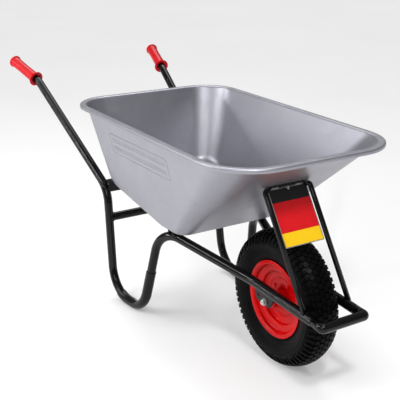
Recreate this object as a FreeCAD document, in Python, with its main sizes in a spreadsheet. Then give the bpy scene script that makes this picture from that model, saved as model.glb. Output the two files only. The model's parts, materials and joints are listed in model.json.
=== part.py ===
"""A steel wheelbarrow: bent tube frame, pressed tray and one pneumatic wheel.

Millimetres.  +X points forward, from the handles to the wheel, and +Z up.  The
floor is z = 0, and the barrow is the same on both sides of y = 0, so +Y is the
left side for the person who pushes it.  The origin lies on the floor, below the
middle of the barrow's length.
"""
import FreeCAD, Part
import math
import os
import re

import Sketcher

Vector = FreeCAD.Vector
Rotation = FreeCAD.Rotation
Placement = FreeCAD.Placement

UP = Vector(0, 0, 1)
ACROSS = Vector(0, 1, 0)
SIDES = {"left": 1, "right": -1}
CLOCKWISE = True
SHORTEST_RUN = 0.001

# ---------------------------------------------------------------- dimensions

# Bend points of the left frame tube: x, y, z of each corner and its bend radius.
FRAME_BENDS = {
    "handle_end": (-773, 290.5, 716, 0),
    "wrist": (-626, 258, 661.5, 110),
    "seat": (-176, 212, 366, 100),
    "heel": (-130, 221.5, 16.2, 100),
    "toe": (53.5, 207.5, 16.2, 83),
    "knee": (118.7, 177.4, 316.4, 85),
    "waist": (456, 73, 247, 250),
    "nose": (766.7, 71, 229, 15.5),
}

# Corners of an axle bracket, from the axle: x forward and z up.
BRACKET_CORNERS = {
    "bracket_rear_top": (-47, 46),
    "bracket_rear": (-46, 14),
    "bracket_heel": (-36, -5),
    "bracket_toe": (23, -12),
    "bracket_front": (38, 14),
    "bracket_front_top": (43, 42),
}

DIMENSIONS = {
    # frame tube
    "tube_radius": 14,
    "tube_wall": 1.5,
    "tube_inset": 8,
    "weld_gap": 0.2,
    "bow_joint_x": 730,
    "shoe_wall": 2,
    "shoe_wrap": 9,
    "shoe_start": 0.7,
    "shoe_top": 160,
    # cross members
    "leg_cross_height": 270,
    "bearer_wall": 3,
    "bearer_width": 30,
    "rear_bearer_x": -165,
    "rear_bearer_drop": 32,
    "knee_bearer_x": 176,
    "knee_bearer_half": 174,
    "bearer_depth": 16,
    # tray
    "sheet": 1.2,
    "wall_inset": 1.0,
    "floor_height": 328.3,
    "floor_rear": 154,
    "floor_front": 254,
    "floor_half": 189,
    "floor_rear_radius": 38,
    "floor_front_radius": 40,
    "edge_height": 8,
    "edge_inset": 11,
    "edge_front_share": 0.6,
    "edge_rear_share": 0.5,
    "kink_x": -204,
    "kink_height": 395,
    "kink_radius": 70,
    "rim_middle": 192,
    "rim_height": 648.6,
    "rim_length": 950,
    "rim_half": 290.7,
    "rim_rear_radius": 123,
    "rim_front_radius": 150,
    "rim_tilt": 0.86,
    "flange": 20,
    "lip_depth": 10.2,
    "drill_reach": 50,
    # front stay and name plate
    "stay_radius": 7.5,
    "stay_wall": 1.2,
    "stay_half": 76.6,
    "stay_bend": 9.5,
    "stay_along": 327,
    "stay_foot_x": 705,
    "stay_foot_y": 76,
    "stay_flat": 4,
    "stay_flat_width": 20,
    "stay_flat_half": 70,
    "stay_flat_lap": 3,
    "plate_half": 66.2,
    "plate_sheet": 1.5,
    "plate_back": 3.7,
    "plate_top": -2.6,
    "plate_bottom": 162,
    "plate_fold": 8,
    "plate_tab_half": 25,
    # axle and brackets
    "axle_x": 516,
    "axle_height": 200,
    "axle_radius": 6,
    "axle_clearance": 0.05,
    "bracket_half": 2,
    "bracket_y": 66.5,
    "bracket_corner": 8,
    "spare_hole_x": -27,
    "spare_hole_z": 13,
    "spare_hole_radius": 5,
    "washer_radius": 10,
    "washer_thickness": 1.6,
    "axle_head_radius": 9.2,
    "axle_head_height": 6.5,
    "axle_nut_height": 6.5,
    "axle_tail": 9.5,
    # hub and bearings
    "hub_radius": 22,
    "hub_half": 50,
    "hub_bore": 14,
    "hub_flange_radius": 52,
    "hub_flange_half": 2,
    "bearing_inner": 48,
    "bearing_width": 10,
    "bearing_radius": 16,
    "race_wall": 2.5,
    "ball_radius": 2.38,
    "ball_clearance": 0.07,
    "ball_count": 8,
    "spacer_radius": 9,
    "seal_radius": 10,
    # wheel
    "well_radius": 80,
    "well_half": 18,
    "bead_radius": 101,
    "bead_inner": 21,
    "bead_outer": 31,
    "rim_flange_radius": 113.8,
    "rim_flange_half": 35.5,
    "rim_sheet": 2,
    "disc_sheet": 2.5,
    "disc_corner": 3,
    "bead_rise": 0.4,
    "flange_foot_rise": 3,
    "flange_foot_back": 1.2,
    "flange_back_rise": 2,
    "flange_back_drop": 1,
    "bead_back": 1,
    "bead_foot_back": 0.3,
    "well_back_share": 0.7,
    "dish_fold": 1,
    "disc_edge": 73,
    "dish_face": 8.5,
    "dish_outer": 60,
    "dish_inner": 53,
    "rim_bolt_circle": 44,
    "rim_bolt_angle": 30,
    "rim_bolt_count": 4,
    "rim_bolt_radius": 3,
    "rim_bolt_head_radius": 5.77,
    "rim_bolt_head": 4,
    "rim_bolt_length": 22,
    "rim_nut_height": 5,
    "tyre_half": 50,
    "tyre_wall": 6,
    "crown_cover": 4,
    "tyre_bead_gap": 1,
    "tyre_toe_gap": 0.5,
    "tyre_seat_rise": 4,
    "tyre_seat_back": 1.9,
    "tyre_lip_rise": 1.7,
    "tyre_lip_back": 0.7,
    "widest_radius": 157,
    "shoulder_radius": 186,
    "shoulder_half": 42,
    "side_arc": 64.3,
    "shoulder_arc": 56.6,
    "crown_arc": 70,
    "cavity_side_arc": 79.8,
    "cavity_shoulder_arc": 47,
    "cavity_crown_arc": 84.7,
    "tube_centre": 146,
    "tube_section": 38,
    "tube_skin": 2,
    "valve_radius": 3.5,
    "valve_y": 13.2,
    "valve_top": 84,
    "valve_tip": 50,
    "valve_cap_height": 8,
    "valve_cap_wall": 1,
    "valve_angle": 168,
    # grips
    "grip_length": 146,
    "grip_radius": 18.5,
    "grip_flange_radius": 27,
    "grip_flange": 4,
    "grip_end_round": 3,
    "grip_swell": 0.5,
    "grip_flange_slope": 4,
    "grip_mouth_depth": 5,
    "grip_mouth_gap": 3,
    "grip_end_radius": 22.5,
    "grip_end": 5,
    "grip_fit": 0.1,
    # tray bolts
    "bolt_radius": 4,
    "bolt_head_radius": 10,
    "bolt_head_height": 3.2,
    "bolt_crown_share": 0.55,
    "bolt_length": 24,
    "bolt_half_spacing": 110,
    "nut_radius": 7.5,
    "nut_height": 6.5,
    "bolt_washer_radius": 8.4,
    "bolt_washer_thickness": 1.6,
    "stay_bolt_radius": 3,
    "stay_bolt_head_radius": 7.5,
    "stay_bolt_length": 16.5,
    "stay_nut_radius": 5.77,
    "stay_nut_height": 5,
    "bolt_hole_clearance": 0.3,
}
for point_name, (point_x, point_y, point_z, bend) in FRAME_BENDS.items():
    DIMENSIONS[point_name + "_x"] = point_x
    DIMENSIONS[point_name + "_y"] = point_y
    DIMENSIONS[point_name + "_z"] = point_z
    DIMENSIONS[point_name + "_bend"] = bend
for corner_name, (corner_x, corner_z) in BRACKET_CORNERS.items():
    DIMENSIONS[corner_name + "_x"] = corner_x
    DIMENSIONS[corner_name + "_z"] = corner_z

doc = FreeCAD.newDocument("wheelbarrow")
sheet = doc.addObject("Spreadsheet::Sheet", "dims")
for row, (alias, number) in enumerate(DIMENSIONS.items(), start=1):
    sheet.set(f"A{row}", alias)
    sheet.set(f"B{row}", str(number))
    sheet.setAlias(f"B{row}", alias)
doc.recompute()

sub_parts = []


def named(expression):
    """An expression with each of the sheet's words written as dims.word."""
    return re.sub(r"[a-z_]\w*", sheet_word, str(expression))


def sheet_word(match):
    word = match.group()
    return "dims." + word if word in DIMENSIONS else word


def size(expression):
    """The value of an expression in the sheet's words."""
    value = sheet.evalExpression(named(expression))
    return getattr(value, "Value", value)


def bind(item, **sizes):
    """Set properties of an object from expressions in the sheet's words."""
    for name, expression in sizes.items():
        item.setExpression(name, named(expression))


def keep(item, label):
    """Name an object as a finished sub-part."""
    item.Label = label
    sub_parts.append(item)
    return item


# ------------------------------------------------------------ sketches, bodies

def new_body(name):
    return doc.addObject("PartDesign::Body", name)


def new_sketch(body, name, plane="XY_Plane", offset=None):
    sketch = body.newObject("Sketcher::SketchObject", name)
    support = next(f for f in body.Origin.OriginFeatures if f.Role == plane)
    sketch.AttachmentSupport = [(support, "")]
    sketch.MapMode = "FlatFace"
    if offset is not None:
        sketch.AttachmentOffset = offset
    return sketch


def hold(sketch, kind, expression, *geometry):
    """Add a dimension to a sketch and keep it equal to an expression."""
    index = sketch.addConstraint(Sketcher.Constraint(kind, *geometry, size(expression)))
    sketch.setExpression(f"Constraints[{index}]", named(expression))


def hold_point(sketch, across, along, item, point):
    hold(sketch, "DistanceX", across, -1, 1, item, point)
    hold(sketch, "DistanceY", along, -1, 1, item, point)


def outline(sketch, corners):
    """A closed outline through corners, which are pairs of expressions.

    A third value is the radius of the arc that runs on to the next corner.  A
    fourth, CLOCKWISE, says which way that arc turns.
    """
    places = [Vector(size(corner[0]), size(corner[1]), 0) for corner in corners]
    ends = []
    for number, corner in enumerate(corners):
        start, end = places[number], places[(number + 1) % len(corners)]
        if len(corner) == 2:
            edge = sketch.addGeometry(Part.LineSegment(start, end))
            ends.append((edge, 1, 2))
            continue
        clockwise = len(corner) == 4
        if clockwise:
            start, end = end, start
        edge = sketch.addGeometry(minor_arc(start, end, size(corner[2])))
        ends.append((edge, 2, 1) if clockwise else (edge, 1, 2))
        hold(sketch, "Radius", corner[2], edge)
    for number, (edge, first, _) in enumerate(ends):
        before, _, last = ends[number - 1]
        sketch.addConstraint(Sketcher.Constraint("Coincident", before, last, edge, first))
        hold_point(sketch, corners[number][0], corners[number][1], edge, first)


def minor_arc(start, end, radius):
    """The shorter arc of a radius that turns left from one place to another."""
    chord = end - start
    aside = Vector(-chord.y, chord.x, 0).normalize()
    centre = start + chord / 2 + aside * math.sqrt(radius ** 2 - (chord.Length / 2) ** 2)
    first = math.atan2(start.y - centre.y, start.x - centre.x)
    last = math.atan2(end.y - centre.y, end.x - centre.x)
    return Part.ArcOfCircle(Part.Circle(centre, UP, radius), first, last)


def circle(sketch, across, along, radius):
    """A circle whose centre and radius are expressions."""
    centre = Vector(size(across), size(along), 0)
    ring = sketch.addGeometry(Part.Circle(centre, UP, size(radius)))
    hold_point(sketch, across, along, ring, 3)
    hold(sketch, "Radius", radius, ring)


def rounded_outline(sketch, rear, front, half, rear_radius, front_radius):
    """A rectangle along X with round corners, the same on both sides of y = 0."""
    x0, x1, w = size(rear), size(front), size(half)
    r0, r1 = size(rear_radius), size(front_radius)
    first = sketch.GeometryCount
    runs = [
        (Vector(x1, r1 - w, 0), Vector(x1, w - r1, 0)),
        (Vector(x1 - r1, w, 0), Vector(x0 + r0, w, 0)),
        (Vector(x0, w - r0, 0), Vector(x0, r0 - w, 0)),
        (Vector(x0 + r0, -w, 0), Vector(x1 - r1, -w, 0)),
    ]
    centres = [(x1 - r1, w - r1, r1), (x0 + r0, w - r0, r0),
               (x0 + r0, r0 - w, r0), (x1 - r1, r1 - w, r1)]
    quarter = math.pi / 2
    for number, (start, end) in enumerate(runs):
        sketch.addGeometry(Part.LineSegment(start, end))
        x, y, radius = centres[number]
        ring = Part.Circle(Vector(x, y, 0), UP, radius)
        sketch.addGeometry(Part.ArcOfCircle(ring, number * quarter, (number + 1) * quarter))
    for number in range(8):
        here, after = first + number, first + (number + 1) % 8
        sketch.addConstraint(Sketcher.Constraint("Tangent", here, 2, after, 1))
    for number, kind in enumerate(("Vertical", "Horizontal", "Vertical", "Horizontal")):
        sketch.addConstraint(Sketcher.Constraint(kind, first + 2 * number))
    hold(sketch, "DistanceX", front, -1, 1, first, 1)
    hold(sketch, "DistanceY", half, -1, 1, first + 2, 1)
    hold(sketch, "DistanceX", rear, -1, 1, first + 4, 1)
    hold(sketch, "DistanceY", f"-({half})", -1, 1, first + 6, 1)
    for arc, radius in zip((1, 3, 5, 7), (front_radius, rear_radius, rear_radius, front_radius)):
        hold(sketch, "Radius", radius, first + arc)


def pad(body, sketch, length, name, both_ways=False, reverse=False):
    feature = body.newObject("PartDesign::Pad", name)
    feature.Profile = sketch
    feature.Reversed = reverse
    feature.Midplane = both_ways
    bind(feature, Length=length)
    return feature


def turned(name, corners, placement=None):
    """A body turned about its own Y axis from (radius, y) corners."""
    body = new_body(name)
    sketch = new_sketch(body, name + "_section")
    outline(sketch, corners)
    turn = body.newObject("PartDesign::Revolution", name + "_turn")
    turn.Profile = sketch
    turn.ReferenceAxis = (sketch, ["V_Axis"])
    turn.Angle = 360
    if placement is not None:
        body.Placement = placement
    return body


# ------------------------------------------------------- primitives, booleans

def cylinder(name, radius, height, placement):
    item = doc.addObject("Part::Cylinder", name)
    bind(item, Radius=radius, Height=height)
    item.Placement = placement
    return item


def hexagon(name, radius, height, placement):
    item = doc.addObject("Part::Prism", name)
    item.Polygon = 6
    bind(item, Circumradius=radius, Height=height)
    item.Placement = placement
    return item


def cut(name, base, tool):
    item = doc.addObject("Part::Cut", name)
    item.Base = base
    item.Tool = tool
    return item


def cut_all(name, base, tools):
    """Base less every tool."""
    for number, tool in enumerate(tools, start=1):
        base = cut(f"{name}_cut_{number}", base, tool)
    return base


def fuse(name, pieces):
    item = doc.addObject("Part::MultiFuse", name)
    item.Shapes = pieces
    return item


def group(name, pieces):
    """Several separate solids under one name."""
    item = doc.addObject("Part::Compound", name)
    item.Links = pieces
    return item


# ------------------------------------------------------------------ bent tubes

def bend_point(name, side):
    return Vector(size(name + "_x"), side * size(name + "_y"), size(name + "_z"))


def bent_wire(points, radii):
    """Straight runs joined by tangent arcs, with one radius for each inner point."""
    edges = []
    start = points[0]
    for before, corner, after, radius in zip(points, points[1:], points[2:], radii):
        inward = (corner - before).normalize()
        onward = (after - corner).normalize()
        half_turn = inward.getAngle(onward) / 2
        setback = radius * math.tan(half_turn)
        arc_start = corner - inward * setback
        arc_end = corner + onward * setback
        bisector = (onward - inward).normalize()
        arc_middle = corner + bisector * (radius / math.cos(half_turn) - radius)
        if (arc_start - start).Length > SHORTEST_RUN:
            edges.append(Part.LineSegment(start, arc_start).toShape())
        edges.append(Part.Arc(arc_start, arc_middle, arc_end).toShape())
        start = arc_end
    edges.append(Part.LineSegment(start, points[-1]).toShape())
    return Part.Wire(edges)


def swept_rod(name, path, radius):
    """A solid round bar of a given radius along a path."""
    first = path.Shape.Edges[0]
    start = first.valueAt(first.FirstParameter)
    heading = first.tangentAt(first.FirstParameter)
    ring = doc.addObject("Part::Circle", name + "_ring")
    bind(ring, Radius=radius)
    ring.Placement = Placement(start, Rotation(UP, heading))
    rod = doc.addObject("Part::Sweep", name)
    rod.Sections = [ring]
    rod.Spine = (path, [f"Edge{n + 1}" for n in range(len(path.Shape.Edges))])
    rod.Solid = True
    rod.Frenet = False
    return rod


def new_path(name, points, radii):
    path = doc.addObject("Part::Feature", name)
    path.Shape = bent_wire(points, radii)
    return path


def bent_tube(name, path, radius, wall):
    outside = swept_rod(name + "_outside", path, radius)
    inside = swept_rod(name + "_inside", path, f"{radius} - {wall}")
    return cut(name, outside, inside)


def between(start, end, share):
    return start + (end - start) * share


tube_tools = {}


def grip_heading(side):
    """The direction from the free end of a grip towards the tray."""
    return (bend_point("wrist", side) - bend_point("handle_end", side)).normalize()


def along_strut(x, side):
    """The point of a frame tube's last straight run at a distance along the barrow."""
    waist, nose = bend_point("waist", side), bend_point("nose", side)
    return between(waist, nose, (x - waist.x) / (nose.x - waist.x))


def make_frame_tubes():
    """A tube on each side from the grip to the nose, and the bow that joins them."""
    names = ["wrist", "seat", "heel", "toe", "knee", "waist"]
    radii = [size(name + "_bend") for name in names]
    joint_x = size("bow_joint_x")
    for side_name, side in SIDES.items():
        start = bend_point("handle_end", side) + grip_heading(side) * size("tube_inset")
        corners = [bend_point(name, side) for name in names]
        path = new_path(f"tube_path_{side_name}", [start, *corners, along_strut(joint_x, side)],
                        radii)
        name = f"frame_tube_{side_name}"
        keep(bent_tube(name, path, "tube_radius", "tube_wall"), name)
        tube_tools[side_name] = swept_rod(f"tube_tool_{side_name}", path,
                                          "tube_radius + weld_gap")

    points = [along_strut(joint_x, 1), bend_point("nose", 1), bend_point("nose", -1),
              along_strut(joint_x, -1)]
    path = new_path("bow_path", points, [size("nose_bend"), size("nose_bend")])
    keep(bent_tube("front_bow", path, "tube_radius", "tube_wall"), "front_bow")


def on_bend(before, corner, after, radius, share):
    """A place part of the way round a bend, and the corner of what is left of it."""
    inward = (corner - before).normalize()
    onward = (after - corner).normalize()
    turn = inward.getAngle(onward)
    start = corner - inward * radius * math.tan(turn / 2)
    outward = (inward.cross(onward)).cross(inward).normalize() * -1
    centre = start - outward * radius
    angle = turn * share
    place = centre + outward * radius * math.cos(angle) + inward * radius * math.sin(angle)
    heading = inward * math.cos(angle) - outward * math.sin(angle)
    return place, place + heading * radius * math.tan((turn - angle) / 2)


def make_leg_shoes():
    """A curved strip of steel that wraps the outside of each leg where it wears."""
    for side_name, side in SIDES.items():
        seat, heel = bend_point("seat", side), bend_point("heel", side)
        toe, knee = bend_point("toe", side), bend_point("knee", side)
        radii = [size("heel_bend"), size("toe_bend")]
        start, corner = on_bend(seat, heel, toe, radii[0], size("shoe_start"))
        top = between(toe, knee, (size("shoe_top") - toe.z) / (knee.z - toe.z))
        path = new_path(f"shoe_path_{side_name}", [start, corner, toe, top], radii)

        section = doc.addObject("Sketcher::SketchObject", f"shoe_section_{side_name}")
        inner = "(tube_radius + weld_gap)"
        outer = f"({inner} + shoe_wall)"
        edge = f"sqrt({inner} ^ 2 - shoe_wrap ^ 2)"
        rim = f"sqrt({outer} ^ 2 - shoe_wrap ^ 2)"
        outline(section, [(rim, "shoe_wrap", outer, CLOCKWISE), ("0", f"-{outer}", outer, CLOCKWISE),
                          (f"-{rim}", "shoe_wrap"), (f"-{edge}", "shoe_wrap", inner),
                          ("0", f"-{inner}", inner), (edge, "shoe_wrap")])
        inside = (corner - start).cross(toe - corner).cross(corner - start)
        section.Placement = Placement(start, Rotation(Vector(), inside, corner - start, "ZYX"))
        strip = doc.addObject("Part::Sweep", f"leg_shoe_{side_name}")
        strip.Sections = [section]
        strip.Spine = (path, [f"Edge{n + 1}" for n in range(len(path.Shape.Edges))])
        strip.Solid = True
        strip.Frenet = False
        keep(strip, f"leg_shoe_{side_name}")


# --------------------------------------------------------------- cross members

FLOOR_SLOPE = math.degrees(math.atan2(size("kink_height - floor_height"),
                                      size("floor_rear - kink_x")))
RIM_FRONT = "(rim_middle + rim_length / 2 - flange)"
FRONT_DEPTH = "(rim_height - floor_height - (rim_length / 2 - flange) * tan(rim_tilt * 1deg))"
FRONT_SLOPE = math.degrees(math.atan2(size(FRONT_DEPTH), size(f"{RIM_FRONT} - floor_front")))


def on_slope(x, below=0.0):
    """A frame on the tray's sloping floor: its X runs forward down the slope."""
    fall = (size("floor_rear") - x) * math.tan(math.radians(FLOOR_SLOPE))
    turn = Rotation(ACROSS, FLOOR_SLOPE)
    base = Vector(x, 0, size("floor_height") + fall) - turn.multVec(UP) * below
    return Placement(base, turn)


def on_front_wall(along, outwards=0.0):
    """A frame on the tray's front wall: its Z points into the tray."""
    turn = Rotation(ACROSS, -FRONT_SLOPE)
    foot = Vector(size("floor_front"), 0, size("floor_height"))
    return Placement(foot + turn.multVec(Vector(along, 0, -outwards)), turn)


def make_cross_members():
    """The tube between the legs and the two bearers that carry the tray."""
    heel, seat = bend_point("heel", 1), bend_point("seat", 1)
    share = (size("leg_cross_height") - heel.z) / (seat.z - heel.z)
    centre = between(heel, seat, share)
    along_y = Rotation(UP, ACROSS)
    start = Placement(Vector(centre.x, -centre.y, centre.z), along_y)
    bar = ring("leg_cross_bar", "tube_radius - tube_wall", "tube_radius", 2 * centre.y, start)
    keep(cut_all("leg_cross_tube", bar, tube_tools.values()), "leg_cross_tube")

    body = new_body("rear_bearer_angle")
    sketch = new_sketch(body, "rear_bearer_section", "XZ_Plane")
    outline(sketch, [("0", "0"), ("0", "-rear_bearer_drop"),
                     ("-bearer_wall", "-rear_bearer_drop"), ("-bearer_wall", "-bearer_wall"),
                     ("-bearer_width", "-bearer_wall"), ("-bearer_width", "0")])
    pad(body, sketch, "2 * (seat_y - tube_radius / 2)", "rear_bearer_pad", both_ways=True)
    body.Placement = on_slope(size("rear_bearer_x"))
    holes = [bolt_hole(f"rear_bearer_hole_{n}", rear_bolt_frame(n)) for n in (1, -1)]
    solid = cut_all("rear_bearer", body, list(tube_tools.values()) + holes)
    keep(solid, "rear_bearer")

    body = new_body("knee_bearer_channel")
    sketch = new_sketch(body, "knee_bearer_section", "XZ_Plane")
    half = "bearer_width / 2"
    outline(sketch, [(f"-{half}", "0"), (f"-{half}", "-bearer_depth"),
                     (f"bearer_wall - {half}", "-bearer_depth"),
                     (f"bearer_wall - {half}", "-bearer_wall"),
                     (f"{half} - bearer_wall", "-bearer_wall"),
                     (f"{half} - bearer_wall", "-bearer_depth"),
                     (half, "-bearer_depth"), (half, "0")])
    pad(body, sketch, "2 * knee_bearer_half", "knee_bearer_pad", both_ways=True)
    body.Placement.Base = Vector(size("knee_bearer_x"), 0, size("floor_height"))
    holes = [bolt_hole(f"knee_bearer_hole_{n}", knee_bolt_frame(n)) for n in (1, -1)]
    keep(cut_all("knee_bearer", body, list(tube_tools.values()) + holes), "knee_bearer")


# ------------------------------------------------------------------------ tray

def blend(low, high, share):
    return f"({low} + ({high} - ({low})) * {share})"


def tray_levels(inset):
    """Outlines of the tray's skin from the floor up to the line of its kink.

    The front and side walls are straight from floor to rim.  The rear runs out
    along the sloping floor as far as the kink, and stands steep above it.
    """
    side_top = "rim_half - flange"
    corner_top = "rim_front_radius - flange"
    depth = "(rim_height - floor_height)"
    levels = []
    for height, squeeze in (("0", "edge_inset"), ("edge_height", "0"),
                            ("(kink_height - floor_height)", "0")):
        rise = f"{height} / {depth}"
        front_rise = f"{height} / {FRONT_DEPTH}"
        slope = f"{height} / (kink_height - floor_height)"
        levels.append({
            "z": f"floor_height + {height}",
            "rear": blend("floor_rear", "kink_x", slope) + f" + {inset}",
            "front": blend("floor_front", RIM_FRONT, front_rise) + f" - {inset}"
                     + f" - {squeeze} * edge_front_share",
            "half": blend("floor_half", side_top, rise) + f" - {inset} - {squeeze}",
            "rear_radius": blend("floor_rear_radius", "kink_radius", slope)
                           + f" - {inset} - {squeeze} * edge_rear_share",
            "front_radius": blend("floor_front_radius", corner_top, front_rise)
                            + f" - {inset} - {squeeze} * edge_front_share",
        })
    return levels


def rim_frame(lift=0.0):
    """The plane of the tray's rim, which falls slightly towards the front."""
    turn = Rotation(ACROSS, size("rim_tilt"))
    base = Vector(size("rim_middle"), 0, size("rim_height"))
    return Placement(base + turn.multVec(UP) * lift, turn)


def rim_outline(sketch, inset):
    half_length = f"rim_length / 2 - {inset}"
    rounded_outline(sketch, f"-({half_length})", half_length, f"rim_half - {inset}",
                    f"rim_rear_radius - {inset}", f"rim_front_radius - {inset}")


def tray_skin(body, name, kind, lift, inset, tops):
    """A loft through the tray's outlines, solid or cut away."""
    sketches = []
    for number, level in enumerate(tray_levels(inset)):
        sketch = new_sketch(body, f"{name}_{number}")
        sketch.setExpression("AttachmentOffset.Base.z", named(f"{level['z']} + {lift}"))
        rounded_outline(sketch, level["rear"], level["front"], level["half"],
                        level["rear_radius"], level["front_radius"])
        sketches.append(sketch)
    for number, height in enumerate(tops):
        sketch = new_sketch(body, f"{name}_top_{number}", offset=rim_frame(height))
        rim_outline(sketch, f"(flange + {inset})")
        sketches.append(sketch)
    loft = body.newObject(kind, name)
    loft.Profile = sketches[0]
    loft.Sections = sketches[1:]
    loft.Ruled = True
    return loft


def rear_bolt_frame(side):
    middle = size("rear_bearer_x - bearer_width / 2 - bearer_wall / 2")
    frame = on_slope(middle)
    frame.Base.y = side * size("bolt_half_spacing")
    return frame


def knee_bolt_frame(side):
    base = Vector(size("knee_bearer_x"), side * size("bolt_half_spacing"), size("floor_height"))
    return Placement(base, Rotation())


def stay_bolt_frame():
    return on_front_wall(size("stay_along"))


def bolt_hole(name, frame, radius="bolt_radius"):
    """A round tool that crosses the sheet at the origin of a bolt's frame."""
    deep = frame.multiply(Placement(UP * -size("drill_reach"), Rotation()))
    return cylinder(name, f"{radius} + bolt_hole_clearance", "2 * drill_reach", deep)


def make_tray():
    """The pressed steel tray with its flat flange and turned-down lip."""
    body = new_body("tray_pressing")
    tray_skin(body, "tray_outside", "PartDesign::AdditiveLoft", "0", "0", [0])
    flange = new_sketch(body, "flange_outline", offset=rim_frame())
    rim_outline(flange, "0")
    pad(body, flange, "sheet", "flange_pad", reverse=True)
    lip = new_sketch(body, "lip_outline", offset=rim_frame())
    rim_outline(lip, "0")
    rim_outline(lip, "sheet")
    pad(body, lip, "lip_depth", "lip_pad", reverse=True)
    tray_skin(body, "tray_inside", "PartDesign::SubtractiveLoft", "sheet", "wall_inset", [0, 2])
    holes = [bolt_hole(f"tray_rear_hole_{n}", rear_bolt_frame(n)) for n in (1, -1)]
    holes += [bolt_hole(f"tray_knee_hole_{n}", knee_bolt_frame(n)) for n in (1, -1)]
    holes.append(bolt_hole("tray_stay_hole", stay_bolt_frame(), "stay_bolt_radius"))
    keep(cut_all("tray", body, holes), "tray")


def carriage_bolt(name, frame, radius, head_radius, length):
    """A bolt with a domed head inside the tray and its shank through the sheet."""
    top = frame.multiply(Placement(UP * size("sheet + weld_gap"), Rotation()))
    head = doc.addObject("Part::Cone", name + "_head")
    bind(head, Radius1=head_radius, Radius2=f"{head_radius} * bolt_crown_share", Height="bolt_head_height")
    head.Placement = top
    foot = frame.multiply(Placement(UP * (size("sheet") - size(length)), Rotation()))
    shank = cylinder(name + "_shank", radius, f"{length} + bolt_head_height / 2", foot)
    return fuse(name, [head, shank])


def ring(name, inner, outer, height, frame):
    """A flat ring, such as a washer."""
    body = cylinder(name + "_disc", outer, height, frame)
    hole = cylinder(name + "_bore", inner, height, frame)
    return cut(name, body, hole)


def nut(name, bore, radius, height, frame):
    body = hexagon(name + "_hex", radius, height, frame)
    hole = cylinder(name + "_bore", bore, height, frame)
    return cut(name, body, hole)


def make_tray_bolts():
    """Four bolts that hold the tray on its bearers."""
    bolts, washers, nuts = [], [], []
    places = [rear_bolt_frame(1), rear_bolt_frame(-1), knee_bolt_frame(1), knee_bolt_frame(-1)]
    for number, frame in enumerate(places, start=1):
        bolts.append(carriage_bolt(f"tray_bolt_{number}", frame, "bolt_radius",
                                   "bolt_head_radius", "bolt_length"))
        depth = size("bearer_wall + bolt_washer_thickness")
        under = frame.multiply(Placement(UP * -depth, Rotation()))
        washers.append(ring(f"tray_washer_{number}", "bolt_radius + bolt_hole_clearance",
                            "bolt_washer_radius", "bolt_washer_thickness", under))
        depth += size("nut_height")
        under = frame.multiply(Placement(UP * -depth, Rotation()))
        nuts.append(nut(f"tray_nut_{number}", "bolt_radius + axle_clearance", "nut_radius",
                        "nut_height", under))
    keep(group("tray_bolt_group", bolts), "tray_bolts")
    keep(group("tray_washer_group", washers), "tray_washers")
    keep(group("tray_nut_group", nuts), "tray_nuts")


# ----------------------------------------------------- front stay, name plate

STAY_TOP = on_front_wall(size("stay_along"), size("stay_radius + weld_gap")).Base


def stay_foot(side):
    foot = along_strut(size("stay_foot_x"), side)
    foot.y = side * size("stay_foot_y")
    return foot


def stay_frame():
    """A frame at the middle of the stay's top bar: its X runs down the stay."""
    fall = stay_foot(1) - STAY_TOP
    angle = math.degrees(math.atan2(-fall.z, fall.x))
    return Placement(STAY_TOP, Rotation(ACROSS, angle))


def centred_box(name, length, width, height, frame):
    """A box that stands on a frame's XY plane with its middle over the origin."""
    item = doc.addObject("Part::Box", name)
    bind(item, Length=length, Width=width, Height=height)
    corner = Vector(-size(length) / 2, -size(width) / 2, 0)
    item.Placement = frame.multiply(Placement(corner, Rotation()))
    return item


def below_wall(depth):
    """The stay bolt's frame, moved out from the tray's front wall."""
    return stay_bolt_frame().multiply(Placement(UP * -size(depth), Rotation()))


def make_front_stay():
    """The thin hoop under the front of the tray, flattened where it is bolted on."""
    shoulder = [STAY_TOP + ACROSS * (side * size("stay_half")) for side in (1, -1)]
    points = [stay_foot(1), shoulder[0], shoulder[1], stay_foot(-1)]
    path = new_path("stay_path", points, [size("stay_bend"), size("stay_bend")])
    tube = bent_tube("stay_tube", path, "stay_radius", "stay_wall")
    base = stay_frame().multiply(Placement(UP * -size("2 * stay_radius"), Rotation()))
    gap = centred_box("stay_flat_gap", "4 * stay_radius", "2 * (stay_flat_half - stay_flat_lap)",
                      "4 * stay_radius", base)
    flat = centred_box("stay_flat_bar", "stay_flat_width", "2 * stay_flat_half", "stay_flat",
                       below_wall("weld_gap + stay_flat"))
    hoop = fuse("stay_hoop", [cut("stay_legs", tube, gap), flat])
    hole = bolt_hole("stay_hole", stay_bolt_frame(), "stay_bolt_radius")
    keep(cut_all("front_stay", hoop, list(tube_tools.values()) + [hole]), "front_stay")


def make_name_plate():
    """A sheet plate that hangs in the hoop by the folded tab on its top edge."""
    body = new_body("name_plate_sheet")
    back = "-plate_back"
    face = "plate_sheet - plate_back"
    section = new_sketch(body, "name_plate_section", "XZ_Plane")
    outline(section, [("plate_top", back), ("plate_bottom", back), ("plate_bottom", face),
                      ("plate_top", face)])
    pad(body, section, "2 * plate_half", "name_plate_pad", both_ways=True)
    body.Placement = stay_frame()
    notch = bolt_hole("name_plate_notch", stay_bolt_frame(), "stay_nut_radius + 1")
    notched = cut("name_plate_notched", body, notch)
    tab = centred_box("name_plate_tab", "2 * plate_fold", "2 * plate_tab_half", "plate_sheet",
                      below_wall("2 * weld_gap + stay_flat + plate_sheet"))
    hole = bolt_hole("name_plate_hole", stay_bolt_frame(), "stay_bolt_radius")
    keep(cut_all("name_plate", fuse("name_plate_folded", [notched, tab]), [hole]), "name_plate")


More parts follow.
